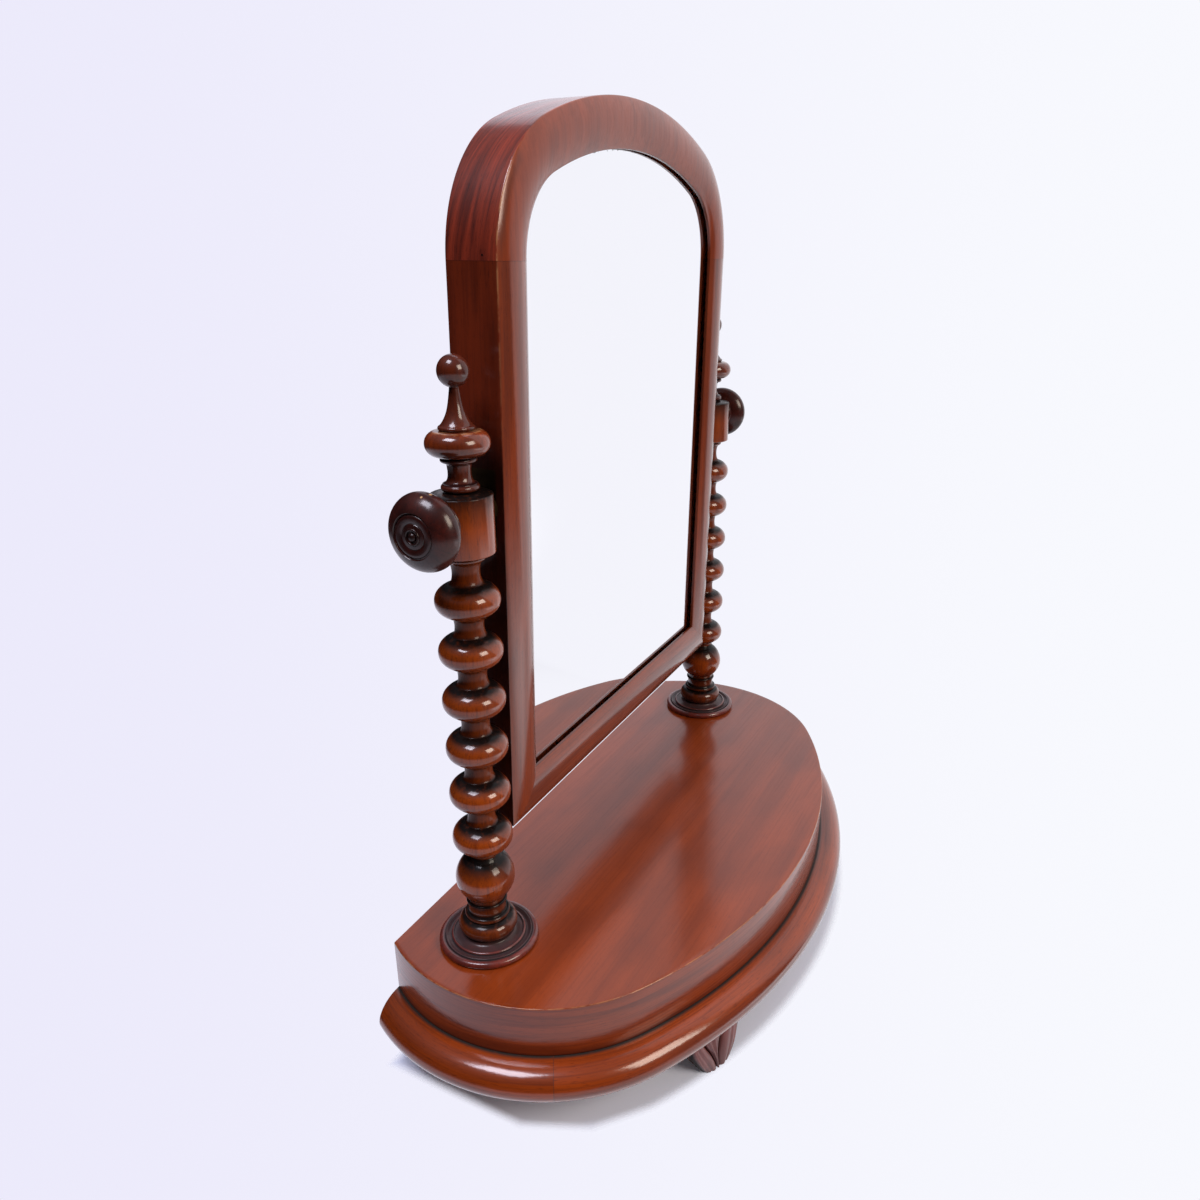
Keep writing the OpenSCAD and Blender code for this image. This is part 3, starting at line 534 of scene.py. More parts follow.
# The finials are darker than the columns, but for the flattened ring, and two bare chips show on it.
finial_wood = polished_mahogany("polished_finial", "#7e3210", "#46190a", grain=(0, np.pi / 2, 0), figure=9,
                                gloss=0.14, waviness=0.2, soil_and_shade_colour="#260f10", chips=[
                                    ((-0.1891, 0.0485, 0.4002), 1.0 * MM, "#c09a70"),
                                    ((-0.1905, 0.0475, 0.4035), 0.6 * MM, "#b07a48")])
collar_hollows = (collar_profile[:, 0] < 22.4) | (np.abs(collar_profile[:, 0] - 25.6) < 1.8)
collar_grime = np.maximum(np.where(collar_hollows & (collar_profile[:, 1] > 3.8), 0.85, 0),
                          dirt_and_dark_reflection(collar_profile, shoulders=0.3))
up_finial = finial_profile[:, 1]
darkened = np.where(np.abs(up_finial - ring_middle) < 6.5, 0.0, 0.62)
# The finial's lower shoulders are darkened as the columns' are: dirt together with a painted reflection of a
# dark ceiling.
finial_grime = np.maximum(dirt_and_dark_reflection(finial_profile, clean_above=30), darkened)
dusty = np.clip(np.exp(-((up_finial - ring_top) / 0.5) ** 2) + np.exp(-(up_finial / 0.5) ** 2), 0, 1)
finial_seat = (block_top + block_cap) * MM
for side, hand in (("left", -1), ("right", 1)):
    collar = turned(f"dark_collar_{side}", collar_profile, above_plinth(hand), grime=collar_grime)
    dress(collar, ebonised, "stand", "ebonised_wood", f"column_collar_{side}")
    finial = turned(f"spire_finial_{side}", finial_profile, above_plinth(hand, finial_seat),
                    wear=0.7 * dusty, grime=finial_grime)
    dress(finial, finial_wood, "stand", "mahogany", f"finial_{side}")


# The mirror frame, which hangs tilted forward on the two pivots. One cushion moulding runs all
# round: stiles and rail are mitred at the bottom, the arched head is built up and veneered.
tilt = np.radians(1.2)
frame_half = 159.5 * MM
frame_below = 203.2 * MM
spring_above = 127.5 * MM
arch_rise = 90.5 * MM
haunch_r = 75 * MM
arris_ahead = 13 * MM
frame_depth = 31.3 * MM
mould_w = 28 * MM
cushion = 3.6 * MM
rebate_w = 8 * MM
lip = 2 * MM
crown_r = (frame_half**2 + arch_rise**2 - 2 * frame_half * haunch_r) / (2 * (arch_rise - haunch_r))
haunch_x = frame_half - haunch_r
crown_z = spring_above + arch_rise - crown_r
haunch_angle = np.degrees(np.arctan2(spring_above - crown_z, haunch_x))
rear_behind = frame_depth - arris_ahead


def hung(points):
    """Turns points given about the pivot axis by the tilt and carries them to the pivot."""
    x, y, z = points[..., 0], points[..., 1], points[..., 2]
    return np.stack([x, column_y + y * np.cos(tilt) - z * np.sin(tilt),
                     pivot_z + y * np.sin(tilt) + z * np.cos(tilt)], -1)


cushion_r = ((mould_w / 2) ** 2 + cushion**2) / (2 * cushion)
swell_angle = np.degrees(np.arcsin((mould_w / 2 - 0.9 * MM) / cushion_r))
frame_section = np.vstack([
    [[0.3 * MM, 0], [0, 0.3 * MM]],
    np.column_stack([np.zeros(8), np.linspace(2 * MM, frame_depth - 0.8 * MM, 8)]),
    curve_points((0.8 * MM, frame_depth - 0.5 * MM), (0.8 * MM, 0.8 * MM), 180, 125, 5),
    curve_points((mould_w / 2, frame_depth + cushion - cushion_r), (cushion_r, cushion_r),
                 90 + swell_angle, 90 - swell_angle, 26),
    curve_points((mould_w - 0.7 * MM, frame_depth - 0.5 * MM), (0.7 * MM, 0.7 * MM), 55, 0, 5),
    [[mould_w, frame_depth - lip], [mould_w - rebate_w, frame_depth - lip], [mould_w - rebate_w, 0]],
])
inward, forward = frame_section[:, 0], frame_section[:, 1]
around = measure_round(frame_section)
# The outer arris is drawn pale: wear together with a painted highlight.
arris_rub_and_highlight = np.exp(-((np.hypot(inward, forward - frame_depth)) / (0.4 * MM)) ** 2)
lip_dirt = 0.4 * np.clip((inward - mould_w + 0.9 * MM) / (0.5 * MM), 0, 1)
lip_dirt = lip_dirt * (forward < frame_depth - 0.2 * MM)


def frame_piece(name, x, z, along, body_nodes, material, start=0.0, rub_and_highlight=0.1, dirt_and_shadow=0.0):
    """Length of the frame: x and z are stations by section points in the frame's own plane, and
    each section point keeps its depth behind the front. rub_and_highlight is how pale the outer
    arris is drawn, wear together with a painted highlight, one value or one per station;
    dirt_and_shadow is darkening besides that along the lip: dirt and dark joints, and on the stiles'
    outer sides also the painted shadow of the columns."""
    y = np.broadcast_to(rear_behind - forward, x.shape)
    piece = skin(name, hung(np.stack([x, y, z], -1)), along + start, around, 30,
                 wear=np.reshape(rub_and_highlight, (-1, 1)) * arris_rub_and_highlight[None, :],
                 grime=np.maximum(dirt_and_shadow, lip_dirt[None, :]))
    dress(piece, material, "mirror", "mahogany", *body_nodes)
    return piece


def finish_outer_side(piece, stations, material):
    """Gives the outer side of a length of the frame, so many stations long, a finish of its own."""
    piece.data.materials.append(material)
    outer_side = np.maximum(inward, np.roll(inward, -1)) < 0.4 * MM
    side_faces = np.append(np.tile(outer_side, stations - 1), [False, False])
    piece.data.polygons.foreach_set("material_index", side_faces.astype(np.int32))


# Shellac on the moulding shows soft streaks along it. The stiles' outer sides get a darker, redder
# copy of the same finish, which is painted shade.
frame_wood = polished_mahogany("french_polished_frame", "#80320b", "#4f1a05", "UV", figure=9, streaks=0.4,
                               gloss=0.15, waviness=0.15)
shaded_stile_side_wood = polished_mahogany("painted_shade_stile_side", "#702812", "#451509", "UV", figure=9, streaks=0.4,
                                    gloss=0.15, waviness=0.15)
# The head's face is veneered with upright grain, so faint streaks cross its curve. Its outer side has
# strong dark streaks along the curve. One dark pit shows on the face and two on the side.
pit = "#1a0a08"
arch_wood = polished_mahogany(
    "veneered_arch", "#84330d", "#561c07", grain=(0, np.pi / 2, 0), figure=7, contrast=0.35, streaks=0.2,
    gloss=0.17, coat=0.8, waviness=0.15, chips=[((-0.1408, 0.0455, 0.4973), 0.8 * MM, pit)])
arch_side_wood = polished_mahogany(
    "streaky_arch_side", "#8a3320", "#3a1411", "UV", grain=(0, 0, 0.1), figure=8, contrast=0.85,
    streaks=0.6, gloss=0.2, waviness=0.3,
    chips=[((-0.1595, 0.0544, 0.4912), 0.8 * MM, pit), ((-0.1595, 0.045, 0.5106), 0.7 * MM, pit)])
stile_length = frame_below + spring_above
shadow_and_dirt_top = 52 * MM
shadow_and_dirt_fade = 28 * MM
rub_and_highlight_reach = 45 * MM
rise = np.linspace(0, 1, 90)
rise = np.append(rise[:-1], [1 - joint_line / stile_length, 1])[:, None]
for side, hand in (("left", -1), ("right", 1)):
    mitre = -frame_below + inward[None, :]
    z = mitre + (spring_above - mitre) * rise
    x = hand * (frame_half - np.broadcast_to(inward, z.shape))
    # Painted shadow: the outer side is darkened below the head, fading out upward, as the columns' shadow
    # together with dirt.
    column_shadow_and_dirt = 0.75 * (inward < 0.1 * MM) * np.clip((shadow_and_dirt_top - z) / shadow_and_dirt_fade, 0, 1)
    dark_joint = np.where(rise == 1, 0.8, 0)
    # The pale arris runs on down the left stile below the head: wear together with a painted highlight.
    near_joint = (hand < 0) * np.exp(-((spring_above - z[:, :1]) / rub_and_highlight_reach) ** 2)
    stile = frame_piece(f"stile_{side}", x, z, stile_length * rise[:, 0], [f"frame_stile_{side}"],
                        frame_wood, 0.4 * hand, rub_and_highlight=0.1 + 0.4 * near_joint,
                        dirt_and_shadow=np.maximum(column_shadow_and_dirt, dark_joint))
    finish_outer_side(stile, len(rise), shaded_stile_side_wood)
reach = frame_half - inward[None, :]
x = -reach + 2 * reach * rise
z = np.broadcast_to(-frame_below + inward, x.shape)
frame_piece("bottom_rail", x, z, 2 * frame_half * rise[:, 0], ["frame_bottom_rail"], frame_wood, 1.3)

turn = np.concatenate([np.linspace(0, haunch_angle, 60, endpoint=False),
                       np.linspace(haunch_angle, 180 - haunch_angle, 110, endpoint=False),
                       np.linspace(180 - haunch_angle, 180, 61)])
on_crown = (turn >= haunch_angle) & (turn <= 180 - haunch_angle)
radius = np.where(on_crown, crown_r, haunch_r)[:, None] - inward[None, :]
centre_x = np.where(on_crown, 0, np.sign(90 - turn) * haunch_x)[:, None]
centre_z = np.where(on_crown, crown_z, spring_above)[:, None]
spin = np.radians(turn)[:, None]
x, z = centre_x + radius * np.cos(spin), centre_z + radius * np.sin(spin)
outer_edge = np.column_stack([x[:, 0], z[:, 0]])
# The left haunch's arris is drawn pale, wear from handling together with a painted highlight, with old
# polish beside it.
haunch_rub_and_highlight = 0.1 + 0.6 * np.exp(-((turn - 165) / 22) ** 4)
along_arris = np.exp(-((inward - 2.6 * MM) / (1.8 * MM)) ** 2) * (forward > frame_depth - 0.3 * MM)
old_polish = 0.5 * np.exp(-((turn - 158) / 20) ** 4)[:, None] * along_arris[None, :]
arched_head = frame_piece("arched_head", x, z, measure(outer_edge),
                          ["frame_haunch_left", "frame_haunch_right", "frame_crown"], arch_wood,
                          rub_and_highlight=haunch_rub_and_highlight, dirt_and_shadow=old_polish)
finish_outer_side(arched_head, len(turn), arch_side_wood)


# The mirror plate: 3 mm of glass, silvered, behind the frame's lip, which shows as a dark line
# along the edge of the reflection. The silver has gone grey there.
glass_t = 3 * MM
glass_gap = 0.6 * MM
silver_depth = 1.9 * MM
glass_in = mould_w - rebate_w + glass_gap
glass_front_y = rear_behind - frame_depth + lip
silver_y = glass_front_y + silver_depth
glass_back_y = glass_front_y + glass_t


def glass_outline(inset, steps=40):
    """Edge of the glass, drawn in by inset: up the right side, over the arch and down the left."""
    half, crown, haunch = frame_half - inset, crown_r - inset, haunch_r - inset
    right = curve_points((haunch_x, spring_above), (haunch, haunch), 0, haunch_angle, steps)
    over = curve_points((0, crown_z), (crown, crown), haunch_angle, 180 - haunch_angle, 2 * steps)
    left = curve_points((-haunch_x, spring_above), (haunch, haunch), 180 - haunch_angle, 180, steps)
    floor = -frame_below + inset
    sides = np.linspace(floor, spring_above, 2 * steps, endpoint=False)
    bottom = np.linspace(-half, half, 2 * steps, endpoint=False)[1:]
    return np.vstack([np.column_stack([np.full(2 * steps, half), sides]), right[:-1], over[:-1], left[:-1],
                      np.column_stack([np.full(2 * steps, -half), spring_above - (sides - floor)]),
                      np.column_stack([bottom, np.full(2 * steps - 1, floor)])])


# One outline at the glass's back, then the silvered face in rings, close together where it is grey.
insets = np.array([0, 0, 4, 8, 9, 10, 12, 15, 20, 30, 50]) * MM
depths = np.array([glass_back_y] + [silver_y] * 10)
outlines = [glass_outline(glass_in + inset) for inset in insets]
rings = np.stack([np.column_stack([line[:, 0], np.full(len(line), depth), line[:, 1]])
                  for line, depth in zip(outlines, depths)])


def silvered_glass(name):
    """Old plate mirror: silver under clear glass, nearly neutral, gone grey at the edge in spots about
    2.4 mm apart, where the mark edge tells it to."""
    material, tree = empty_material(name)
    edge = add_node(tree, "ShaderNodeAttribute", attribute_name="edge").outputs["Fac"]
    place = add_node(tree, "ShaderNodeTexCoord").outputs["Object"]
    spots = add_node(tree, "ShaderNodeTexNoise", {
        "Vector": place, "Scale": 1 / (2.381 * MM), "Detail": 3.0}).outputs["Fac"]
    rot = add_node(tree, "ShaderNodeMath", {0: edge, 1: spots}, operation="MULTIPLY").outputs[0]
    bare = add_node(tree, "ShaderNodeMapRange", {
        "Value": rot, "From Min": 0.42, "From Max": 0.6}, interpolation_type="SMOOTHSTEP").outputs["Result"]
    colour = add_node(tree, "ShaderNodeMix", {0: bare, 6: paint("#efeef1"), 7: paint("#2a2c28")},
                      data_type="RGBA").outputs[2]
    shader = add_node(tree, "ShaderNodeBsdfPrincipled", {
        "Base Color": colour, "Metallic": 1.0, "Roughness": 0.012})
    add_node(tree, "ShaderNodeOutputMaterial", {"Surface": shader.outputs[0]})
    return material


grey_from_edge = 7.6 * MM
grey_fade = 2.5 * MM
edge_mark = np.clip(1 - (insets - grey_from_edge) / grey_fade, 0, 1)
plate = skin("mirror_plate", hung(rings), edge=edge_mark[:, None])
dress(plate, silvered_glass("silvered_plate_glass"), "mirror", "mirror_glass", "mirror_glass")


# The knobs, turned and ebonised, each on a steel screw that clamps the frame between the columns.
# The face has a quirk round a low dish, a smaller ring and a button in the middle.
screw_r = 3
knob_r = 20.9
dome_rise = 12.4
knob_low, knob_high = corners("knob_right")
knob_in = knob_low[0]
widest = (knob_high[0] - knob_in) / MM - dome_rise
dome_t = np.radians(np.linspace(3, 54, 26))
knob_profile = np.vstack([
    [[screw_r, 0], [11.8, 0]],
    curve_points((11.8, 0.9), (0.9, 0.9), -90, 60, 8),
    [[11.4, 2.8], [11.5, 3.6]],
    swelling(widest, knob_r, widest - 3.4, 12.0, knob_r - 0.01, steps=30),
    np.column_stack([knob_r * np.cos(dome_t), widest + dome_rise * np.sin(dome_t)]),
    [[12.1, widest + 9.9], [11.8, widest + 9.2], [11.3, widest + 9.3]],
    curve_points((9.4, widest + 8.9), (1.9, 1.1), 15, 90, 8),
    [[8.2, widest + 9.9], [7.2, widest + 9.8], [6.8, widest + 9.5], [6.5, widest + 9.8]],
    [[5.6, widest + 9.9], [4.8, widest + 10.1]],
    curve_points((3.9, widest + 10.2), (0.7, 0.7), -10, 190, 10),
    [[2.9, widest + 9.6], [2.5, widest + 9.6]],
    curve_points((0, widest + 9.7), (2.3, 1.9), 5, 85, 10),
])
knob_grime = dirt_and_dark_reflection(knob_profile, clean_below=widest + 8.6, strength=0.9)
# Stained black and polished, then handled: a brown-black sheen, dull in the quirks, with two bare
# chips on the left knob.
bare_chip = "#b08a62"
knob_wood = polished_mahogany(
    "ebonised_knob", "#3d1611", "#1c0908", grain=(0, 0, 0), figure=7, gloss=0.2, coat=0.65, waviness=0.3,
    chips=[((-0.2125, 0.0557, 0.3812), 0.9 * MM, bare_chip),
           ((-0.2165, 0.0585, 0.3806), 0.7 * MM, bare_chip)])


def beside_block(hand):
    """Gives the function that turns a knob's axis outward and carries it to the left (-1) or right
    (1) block."""
    def carry(rings):
        return np.stack([hand * (knob_in + rings[..., 2]), column_y + hand * rings[..., 1],
                         pivot_z + rings[..., 0]], -1)
    return carry


for side, hand in (("left", -1), ("right", 1)):
    knob = turned(f"clamp_knob_{side}", knob_profile, beside_block(hand), grime=knob_grime)
    dress(knob, knob_wood, f"knob_{side}", "ebonised_wood", f"knob_{side}")


# The front feet, carved from the solid as a drooping leaf: a split central stem between two lobes
# whose tips curl in to the toe. They stand under the moulding, square to its curve.
foot_h = base_bottom
foot_half = 23.3 * MM
toe_half = 12 * MM
foot_t = 22 * MM
foot_curl = 4 * MM
foot_inset = 9 * MM
foot_from_arc_end = 51.6 * MM
foot_angle = front_angle - np.degrees(np.arcsin(foot_from_arc_end / front_r))


def leaf_relief(u, down):
    """Depth of the carving behind the foot's face, in metres: u runs from -1 to 1 across the leaf,
    1 on the side of the nearer end of the base, and down from 0 at the top to 1 at the toe. Two
    deep valleys beside a ribbed stem run together at the toe; each lobe is a dome with a faint
    vein and a rim that rolls back; the toe is rounded by 1.5 u^2 down^3 millimetres."""
    middle = 0.3 - 0.2 * down
    side = np.abs(u - middle) / np.where(u > middle, 1 - middle, 1 + middle)
    stem = 0.42 * (1 - 0.85 * np.sin(np.pi / 2 * down))
    valley = np.exp(-((side - stem) / 0.05) ** 2)
    ribs = 0.6 * np.cos(side / stem * 3 * np.pi) * (side < stem) * (1 - down)
    lobe = np.clip((side - stem) / (0.84 - stem), 0, 1)
    dome = (2 * lobe - 1) ** 2
    vein = np.exp(-((lobe - 0.7 + 0.1 * down) / 0.12) ** 2)
    ridge = np.exp(-((side - 0.84) / 0.04) ** 2)
    rim = np.clip((side - 0.84) / 0.16, 0, 1) ** 1.5
    lobes = 1.8 * dome * (side > stem) + 0.8 * vein - 0.6 * ridge + 2 * rim
    return (0.4 + (2.2 - 1.5 * down**3) * valley + ribs + lobes + 1.5 * u**2 * down**3) * MM


def carved_foot(name, hand):
    """Leaf foot: horizontal sections from the floor up, each with a carved front edge, straight
    sides and a flat back; half width and forward curl follow the sine and cosine of the height."""
    heights = np.linspace(0, 1, 72)
    half = toe_half + (foot_half - toe_half) * np.sin(heights * np.pi / 2)
    across = np.linspace(-1, 1, 161)
    front = leaf_relief(hand * across[None, :], 1 - heights[:, None])
    curl = foot_curl * np.cos(heights * np.pi / 2)[:, None]
    back_u = np.linspace(1, -1, 9)
    across_x = np.hstack([half[:, None] * across[None, :], half[:, None] * back_u[None, :]])
    behind_toe = np.hstack([front - curl, np.full((len(heights), len(back_u)), foot_t)])
    deep = behind_toe - (front_r + nose_out - foot_inset)
    turn = np.radians(hand * foot_angle)
    z = np.repeat((heights * foot_h)[:, None], across_x.shape[1], 1)
    rings = np.stack([across_x * np.cos(turn) - deep * np.sin(turn),
                      front_y + across_x * np.sin(turn) + deep * np.cos(turn), z], -1)
    in_valleys = np.clip((front - 1.9 * MM) / (1.5 * MM), 0, 1)
    grime = np.hstack([in_valleys, np.zeros((len(heights), len(back_u)))])
    return skin(name, rings, soft_angle=50, grime=grime)


# Carved work takes little polish: purple-brown, almost matt, and black in the valleys.
carved_wood = polished_mahogany("carved_mahogany", "#7a4846", "#4d2b2a", grain=(0, np.pi / 2, 0), figure=12,
                                streaks=0.2, gloss=0.35, coat=0.6, waviness=0.4)
for side, hand in (("left", -1), ("right", 1)):
    dress(carved_foot(f"carved_foot_{side}", hand), carved_wood, "stand", "carved_mahogany",
          f"front_foot_{side}")


# What is seen only from behind or below: bare softwood boards and blocks, brass plates, washers and
# small screws, and the steel of the large screws.
def bare_pine(name, grain=(0, 0, 0)):
    """Old unfinished pine: tan and dull, with growth rings 11 mm wide that handling has darkened, and
    a fuzz of sawn fibres drawn 1.1 mm wide, which is as fine as the picture can show."""
    material, tree = empty_material(name)
    place = add_node(tree, "ShaderNodeTexCoord").outputs["Object"]
    board = add_node(tree, "ShaderNodeMapping", {"Vector": place, "Rotation": grain}).outputs[0]
    rings = add_node(tree, "ShaderNodeMapping", {
        "Vector": board, "Scale": (1 / (400 * MM), 1 / (11.11 * MM), 1 / (11.11 * MM))})
    growth = add_node(tree, "ShaderNodeTexNoise", {
        "Vector": rings.outputs[0], "Scale": 1.0, "Detail": 3.0, "Distortion": 0.8}).outputs["Fac"]
    fuzz = add_node(tree, "ShaderNodeMapping", {
        "Vector": board, "Scale": (1 / (16.67 * MM), 1 / (1.111 * MM), 1 / (1.111 * MM))})
    fibres = add_node(tree, "ShaderNodeTexNoise", {"Vector": fuzz.outputs[0], "Scale": 1.0}).outputs["Fac"]
    tone = add_node(tree, "ShaderNodeMix", {0: growth, 6: paint("#6b4425"), 7: paint("#b98a58")},
                    data_type="RGBA").outputs[2]
    tone = add_node(tree, "ShaderNodeMix", {0: 0.5, 6: tone, 7: fibres}, data_type="RGBA",
                    blend_type="MULTIPLY").outputs[2]
    sawn = add_node(tree, "ShaderNodeBump", {"Height": fibres, "Strength": 0.4, "Distance": 0.1 * MM})
    shader = add_node(tree, "ShaderNodeBsdfPrincipled", {
        "Base Color": tone, "Roughness": 0.75, "Normal": sawn.outputs[0]})
    add_node(tree, "ShaderNodeOutputMaterial", {"Surface": shader.outputs[0]})
    return material


def metal(name, bright, dull, roughness):
    """Plain metal part: bright where it was turned or filed, clouded by tarnish in patches about
    5.6 mm apart."""
    material, tree = empty_material(name)
    place = add_node(tree, "ShaderNodeTexCoord").outputs["Object"]
    clouds = add_node(tree, "ShaderNodeTexNoise", {
        "Vector": place, "Scale": 1 / (5.556 * MM), "Detail": 4.0}).outputs["Fac"]
    colour = add_node(tree, "ShaderNodeMix", {0: clouds, 6: paint(bright), 7: paint(dull)},
                      data_type="RGBA").outputs[2]
    shader = add_node(tree, "ShaderNodeBsdfPrincipled", {
        "Base Color": colour, "Metallic": 1.0, "Roughness": roughness})
    add_node(tree, "ShaderNodeOutputMaterial", {"Surface": shader.outputs[0]})
    return material


finishes = {
    bare_pine("sawn_pine"): [
        "base_board", "plinth_core", "rear_foot_left", "rear_foot_right", "frame_dowels"],
    bare_pine("upright_pine", (0, np.pi / 2, 0)): ["backboard", "glass_blocks"],
    metal("tarnished_brass", "#4a3720", "#2a1e12", 0.5): [
        "backboard_screws", "pivot_plate_left", "pivot_plate_right", "pivot_plate_screws",
        "pivot_washer_left", "pivot_washer_right", "knob_washer_left", "knob_washer_right"],
    metal("dull_steel", "#8a8884", "#4a4744", 0.45): [
        "foot_screws", "column_screws", "clamp_screw_left", "clamp_screw_right"],
}
for finish, nodes in finishes.items():
    for node in nodes:
        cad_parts[node].data.materials.clear()
        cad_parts[node].data.materials.append(finish)


# The studio: a pale floor that fades into the pale surroundings a little way out from the plinth,
# two softboxes above, a white cove beyond the mirror and a dark room behind the camera.
floor_half = 1.6
floor_mesh = bpy.data.meshes.new("pale_floor")
corner_xy = floor_half * np.array([[-1, -1], [1, -1], [1, 1], [-1, 1]])
floor_mesh.from_pydata([(x, y, 0) for x, y in corner_xy.tolist()], [], [(0, 1, 2, 3)])
floor = bpy.data.objects.new("pale_floor", floor_mesh)
bpy.context.scene.collection.objects.link(floor)

# Pale paper that the lamps burn out to white. To the eye it is clear but for the shade that the base
# throws, which has the base's plan a little to the right, and it fades out altogether farther off.
fade_start = 0.32
fade_end = 0.7
shade_shift = 14.5 * MM
shade_inside = 6 * MM
shade_outside = 3 * MM
floor_paper, tree = empty_material("floor_paper")
spot = add_node(tree, "ShaderNodeTexCoord").outputs["Object"]
away = add_node(tree, "ShaderNodeVectorMath", {0: spot}, operation="LENGTH").outputs["Value"]
far_off = add_node(tree, "ShaderNodeMapRange", {"Value": away, "From Min": fade_start, "From Max": fade_end},
                   interpolation_type="SMOOTHSTEP").outputs["Result"]
shade = add_node(tree, "ShaderNodeMapping", {"Vector": spot, "Location": (-shade_shift, 0, 0)}).outputs[0]
outside = add_node(tree, "ShaderNodeVectorMath", {
    0: shade, 1: (0, front_y, 0)}, operation="DISTANCE").outputs["Value"]
outside = add_node(tree, "ShaderNodeMath", {0: outside, 1: front_r + nose_out},
                   operation="SUBTRACT").outputs[0]
shade_x = add_node(tree, "ShaderNodeSeparateXYZ", {0: shade}).outputs
folded = add_node(tree, "ShaderNodeCombineXYZ", {
    0: add_node(tree, "ShaderNodeMath", {0: shade_x["X"]}, operation="ABSOLUTE").outputs[0],
    1: shade_x["Y"]}).outputs[0]
# The end arcs are followed by three straight edges, each at its lean from straight ahead.
shade_edges = []
for lean, short in ((0.73, 0), (1.15, 0), (1.57, 5 * MM)):
    reach = end_x * np.sin(lean) - widest_y * np.cos(lean) + end_r + nose_out - short
    shade_edges.append(((np.sin(lean), -np.cos(lean), 0), reach))
shade_edges.append(((0, 1, 0), back_y))
for way, reach in shade_edges:
    past = add_node(tree, "ShaderNodeVectorMath", {0: folded, 1: way}, operation="DOT_PRODUCT")
    past = add_node(tree, "ShaderNodeMath", {0: past.outputs["Value"], 1: reach}, operation="SUBTRACT")
    outside = add_node(tree, "ShaderNodeMath", {0: outside, 1: past.outputs[0]},
                       operation="MAXIMUM").outputs[0]
blown_out = add_node(tree, "ShaderNodeMapRange", {
    "Value": outside, "From Min": -shade_inside, "From Max": shade_outside, "To Min": 0.04, "To Max": 1.0,
}, interpolation_type="SMOOTHSTEP").outputs["Result"]
rays = add_node(tree, "ShaderNodeLightPath").outputs
seen_ray = add_node(tree, "ShaderNodeMath", {0: rays["Is Camera Ray"], 1: rays["Is Glossy Ray"]},
                    operation="MAXIMUM").outputs[0]
blown_out = add_node(tree, "ShaderNodeMath", {0: blown_out, 1: seen_ray}, operation="MULTIPLY").outputs[0]
clearness = add_node(tree, "ShaderNodeMath", {0: far_off, 1: blown_out}, operation="MAXIMUM").outputs[0]
tint = add_node(tree, "ShaderNodeMix", {
    0: rays["Is Camera Ray"], 6: paint("#c4c4d0"), 7: paint("#e2eaff")}, data_type="RGBA").outputs[2]
paper = add_node(tree, "ShaderNodeBsdfDiffuse", {"Color": tint})
clear = add_node(tree, "ShaderNodeBsdfTransparent")
both = add_node(tree, "ShaderNodeMixShader", {0: clearness, 1: paper.outputs[0], 2: clear.outputs[0]})
add_node(tree, "ShaderNodeOutputMaterial", {"Surface": both.outputs[0]})
floor_mesh.materials.append(floor_paper)

# What surrounds the studio table, as the polish and the glass reflect it: the cove, which is also
# the backdrop, the lit table below, and the room with its ceiling and far wall.
to_the_right = (0.466, -0.885, 0.0)
to_the_cove = (0.925, -0.163, 0.342)
out_of_the_glass = (0.0, -1.0, 0.0)

world = bpy.data.worlds.new("photographer_cove")
bpy.context.scene.world = world
world.use_nodes = True
tree = world.node_tree
tree.nodes.clear()
direction = add_node(tree, "ShaderNodeTexCoord").outputs["Generated"]
up = add_node(tree, "ShaderNodeSeparateXYZ", {0: direction}).outputs["Z"]
sideways = add_node(tree, "ShaderNodeVectorMath", {0: direction, 1: to_the_right},
                    operation="DOT_PRODUCT").outputs["Value"]
lit_side = add_node(tree, "ShaderNodeMapRange", {"Value": sideways, "From Min": -0.6, "From Max": 0.6},
                    interpolation_type="SMOOTHSTEP").outputs["Result"]
cove = add_node(tree, "ShaderNodeMix", {0: lit_side, 6: paint("#eceafb"), 7: paint("#f8f9fe")},
                data_type="RGBA").outputs[2]
towards_cove = add_node(tree, "ShaderNodeVectorMath", {0: direction, 1: to_the_cove},
                        operation="DOT_PRODUCT").outputs["Value"]
open_side = add_node(tree, "ShaderNodeMapRange", {"Value": towards_cove, "From Min": 0.57, "From Max": 0.65},
                     interpolation_type="SMOOTHSTEP").outputs["Result"]
rays = add_node(tree, "ShaderNodeLightPath").outputs
table = add_node(tree, "ShaderNodeMapRange", {"Value": up, "From Min": -0.23, "From Max": -0.46},
                 interpolation_type="SMOOTHSTEP").outputs["Result"]
table = add_node(tree, "ShaderNodeMath", {0: table, 1: rays["Is Glossy Ray"]},
                 operation="MULTIPLY").outputs[0]
lit = add_node(tree, "ShaderNodeMath", {0: open_side, 1: table}, operation="MAXIMUM").outputs[0]
ceiling = add_node(tree, "ShaderNodeMapRange", {"Value": up, "From Min": 0.2, "From Max": 0.95},
                   interpolation_type="SMOOTHSTEP").outputs["Result"]
dark_room = add_node(tree, "ShaderNodeMix", {0: ceiling, 6: paint("#141315"), 7: paint("#78777d")},
                     data_type="RGBA").outputs[2]
ahead_of_glass = add_node(tree, "ShaderNodeVectorMath", {0: direction, 1: out_of_the_glass},
                          operation="DOT_PRODUCT").outputs["Value"]
far_wall = add_node(tree, "ShaderNodeMapRange", {"Value": ahead_of_glass, "From Min": 0.78, "From Max": 1.0},
                    interpolation_type="SMOOTHSTEP").outputs["Result"]
dark_room = add_node(tree, "ShaderNodeMix", {0: far_wall, 6: dark_room, 7: paint("#6a696e")},
                     data_type="RGBA").outputs[2]
surroundings = add_node(tree, "ShaderNodeMix", {0: lit, 6: dark_room, 7: cove}, data_type="RGBA").outputs[2]
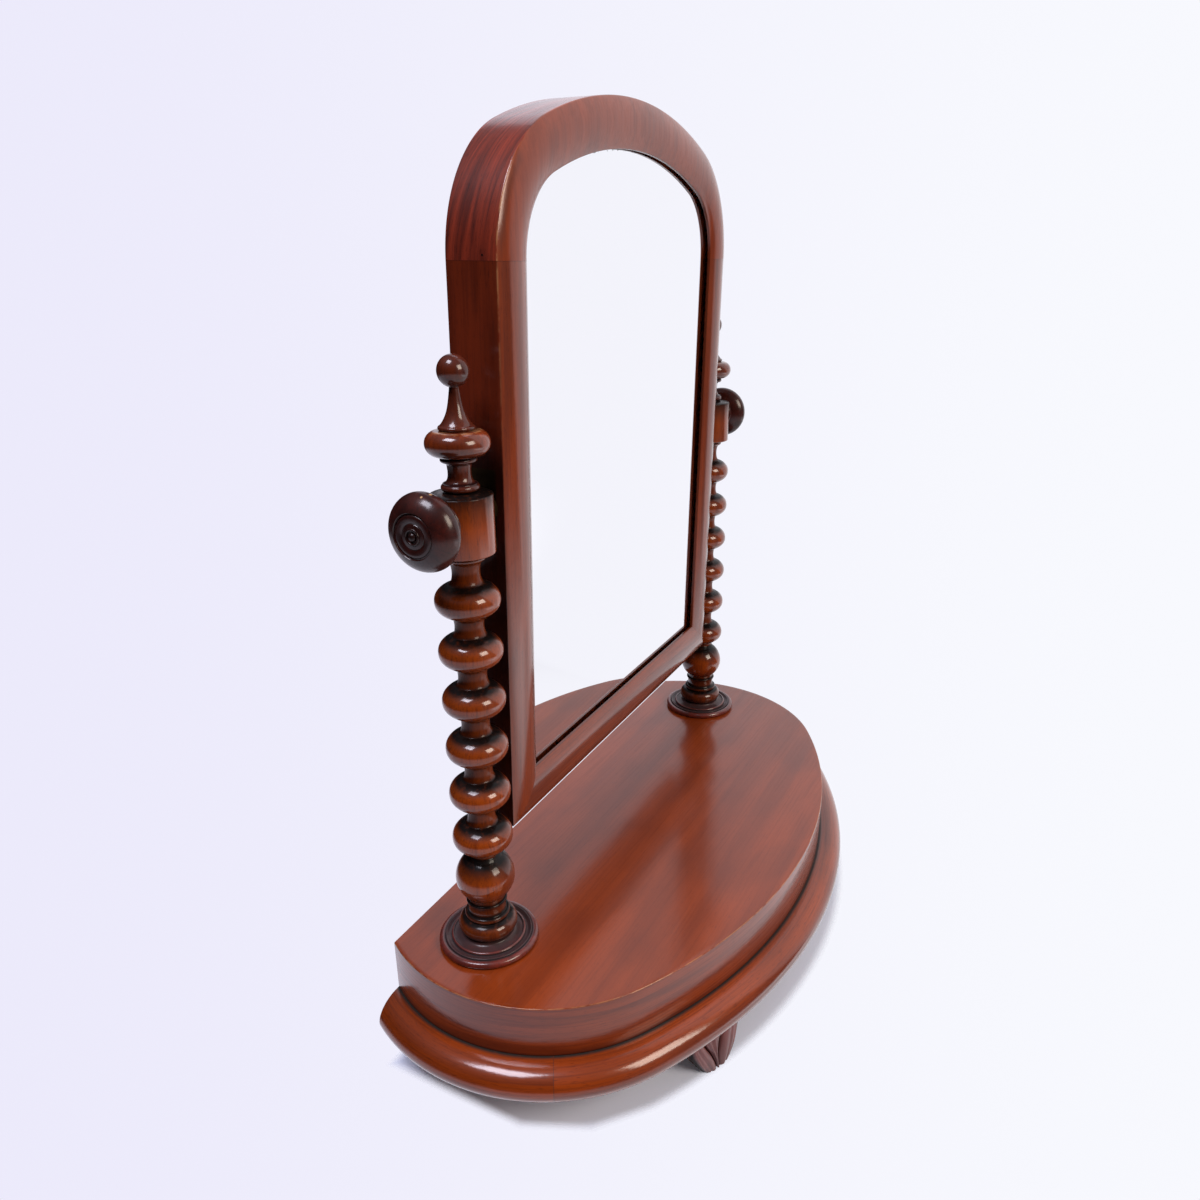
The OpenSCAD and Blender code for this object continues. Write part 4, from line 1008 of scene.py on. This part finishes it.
backdrop = add_node(tree, "ShaderNodeMath", {0: rays["Is Camera Ray"], 1: rays["Is Transmission Ray"]},
                    operation="MAXIMUM").outputs[0]
seen = add_node(tree, "ShaderNodeMix", {0: backdrop, 6: surroundings, 7: cove}, data_type="RGBA").outputs[2]
glare = add_node(tree, "ShaderNodeMapRange", {
    "Value": sideways, "From Min": 0.8, "From Max": 0.9, "To Max": 1.7,
}, interpolation_type="SMOOTHSTEP").outputs["Result"]
evenly = add_node(tree, "ShaderNodeMapRange", {
    "Value": backdrop, "To Min": 1.1, "To Max": 1.0}).outputs["Result"]
brightness = add_node(tree, "ShaderNodeMath", {0: glare, 1: table, 2: evenly},
                      operation="MULTIPLY_ADD").outputs[0]
surround = add_node(tree, "ShaderNodeBackground", {"Color": seen, "Strength": brightness})
add_node(tree, "ShaderNodeOutputWorld", {"Surface": surround.outputs[0]})


def softbox(name, place, aim, width, height, power, colour):
    """Rectangular lamp at place, turned to face aim."""
    lamp = bpy.data.lights.new(name, "AREA")
    lamp.shape = "RECTANGLE"
    lamp.size, lamp.size_y = width, height
    lamp.energy = power
    lamp.color = paint(colour)[:3]
    box = bpy.data.objects.new(name, lamp)
    look_along = np.array(aim, float) - np.array(place, float)
    yaw = np.arctan2(look_along[0], look_along[1])
    fall = np.arctan2(-look_along[2], np.hypot(look_along[0], look_along[1]))
    box.location = place
    box.rotation_euler = (np.pi / 2 - fall, 0, -yaw)
    bpy.context.scene.collection.objects.link(box)


lamp_aim = (-0.19, 0.05, 0.25)
softbox("cool_box", (-0.93, 0.28, 1.99), lamp_aim, 0.8, 0.65, 31, "#f0efff")
softbox("warm_box", (-0.28, -1.51, 1.18), lamp_aim, 0.8, 0.8, 23, "#fff1e0")


# The photographer's camera, where the photo's straight edges and circles place it: off the left end
# of the plinth and in front of it, looking down across it.
image_px = 1200
focal_px = 908
sensor_mm = 36
camera_yaw, camera_pitch, camera_roll = np.radians([62.25, -20.51, -0.58])
camera_place = np.array([-0.5598, column_y - 0.2819, plinth_z + 0.4022])
camera_data = bpy.data.cameras.new("photographer")
camera_data.sensor_width = sensor_mm
camera_data.lens = sensor_mm * focal_px / image_px
camera = bpy.data.objects.new("photographer", camera_data)
bpy.context.scene.collection.objects.link(camera)
ahead = np.array([np.sin(camera_yaw) * np.cos(camera_pitch), np.cos(camera_yaw) * np.cos(camera_pitch),
                  np.sin(camera_pitch)])
level = np.cross(ahead, [0, 0, 1])
level /= np.linalg.norm(level)
upward = np.cross(level, ahead)
right = level * np.cos(camera_roll) + upward * np.sin(camera_roll)
overhead = -level * np.sin(camera_roll) + upward * np.cos(camera_roll)
camera.location = camera_place
camera.rotation_euler = Matrix(np.column_stack([right, overhead, -ahead]).tolist()).to_euler()
bpy.context.scene.camera = camera
bpy.context.scene.view_settings.view_transform = "Standard"
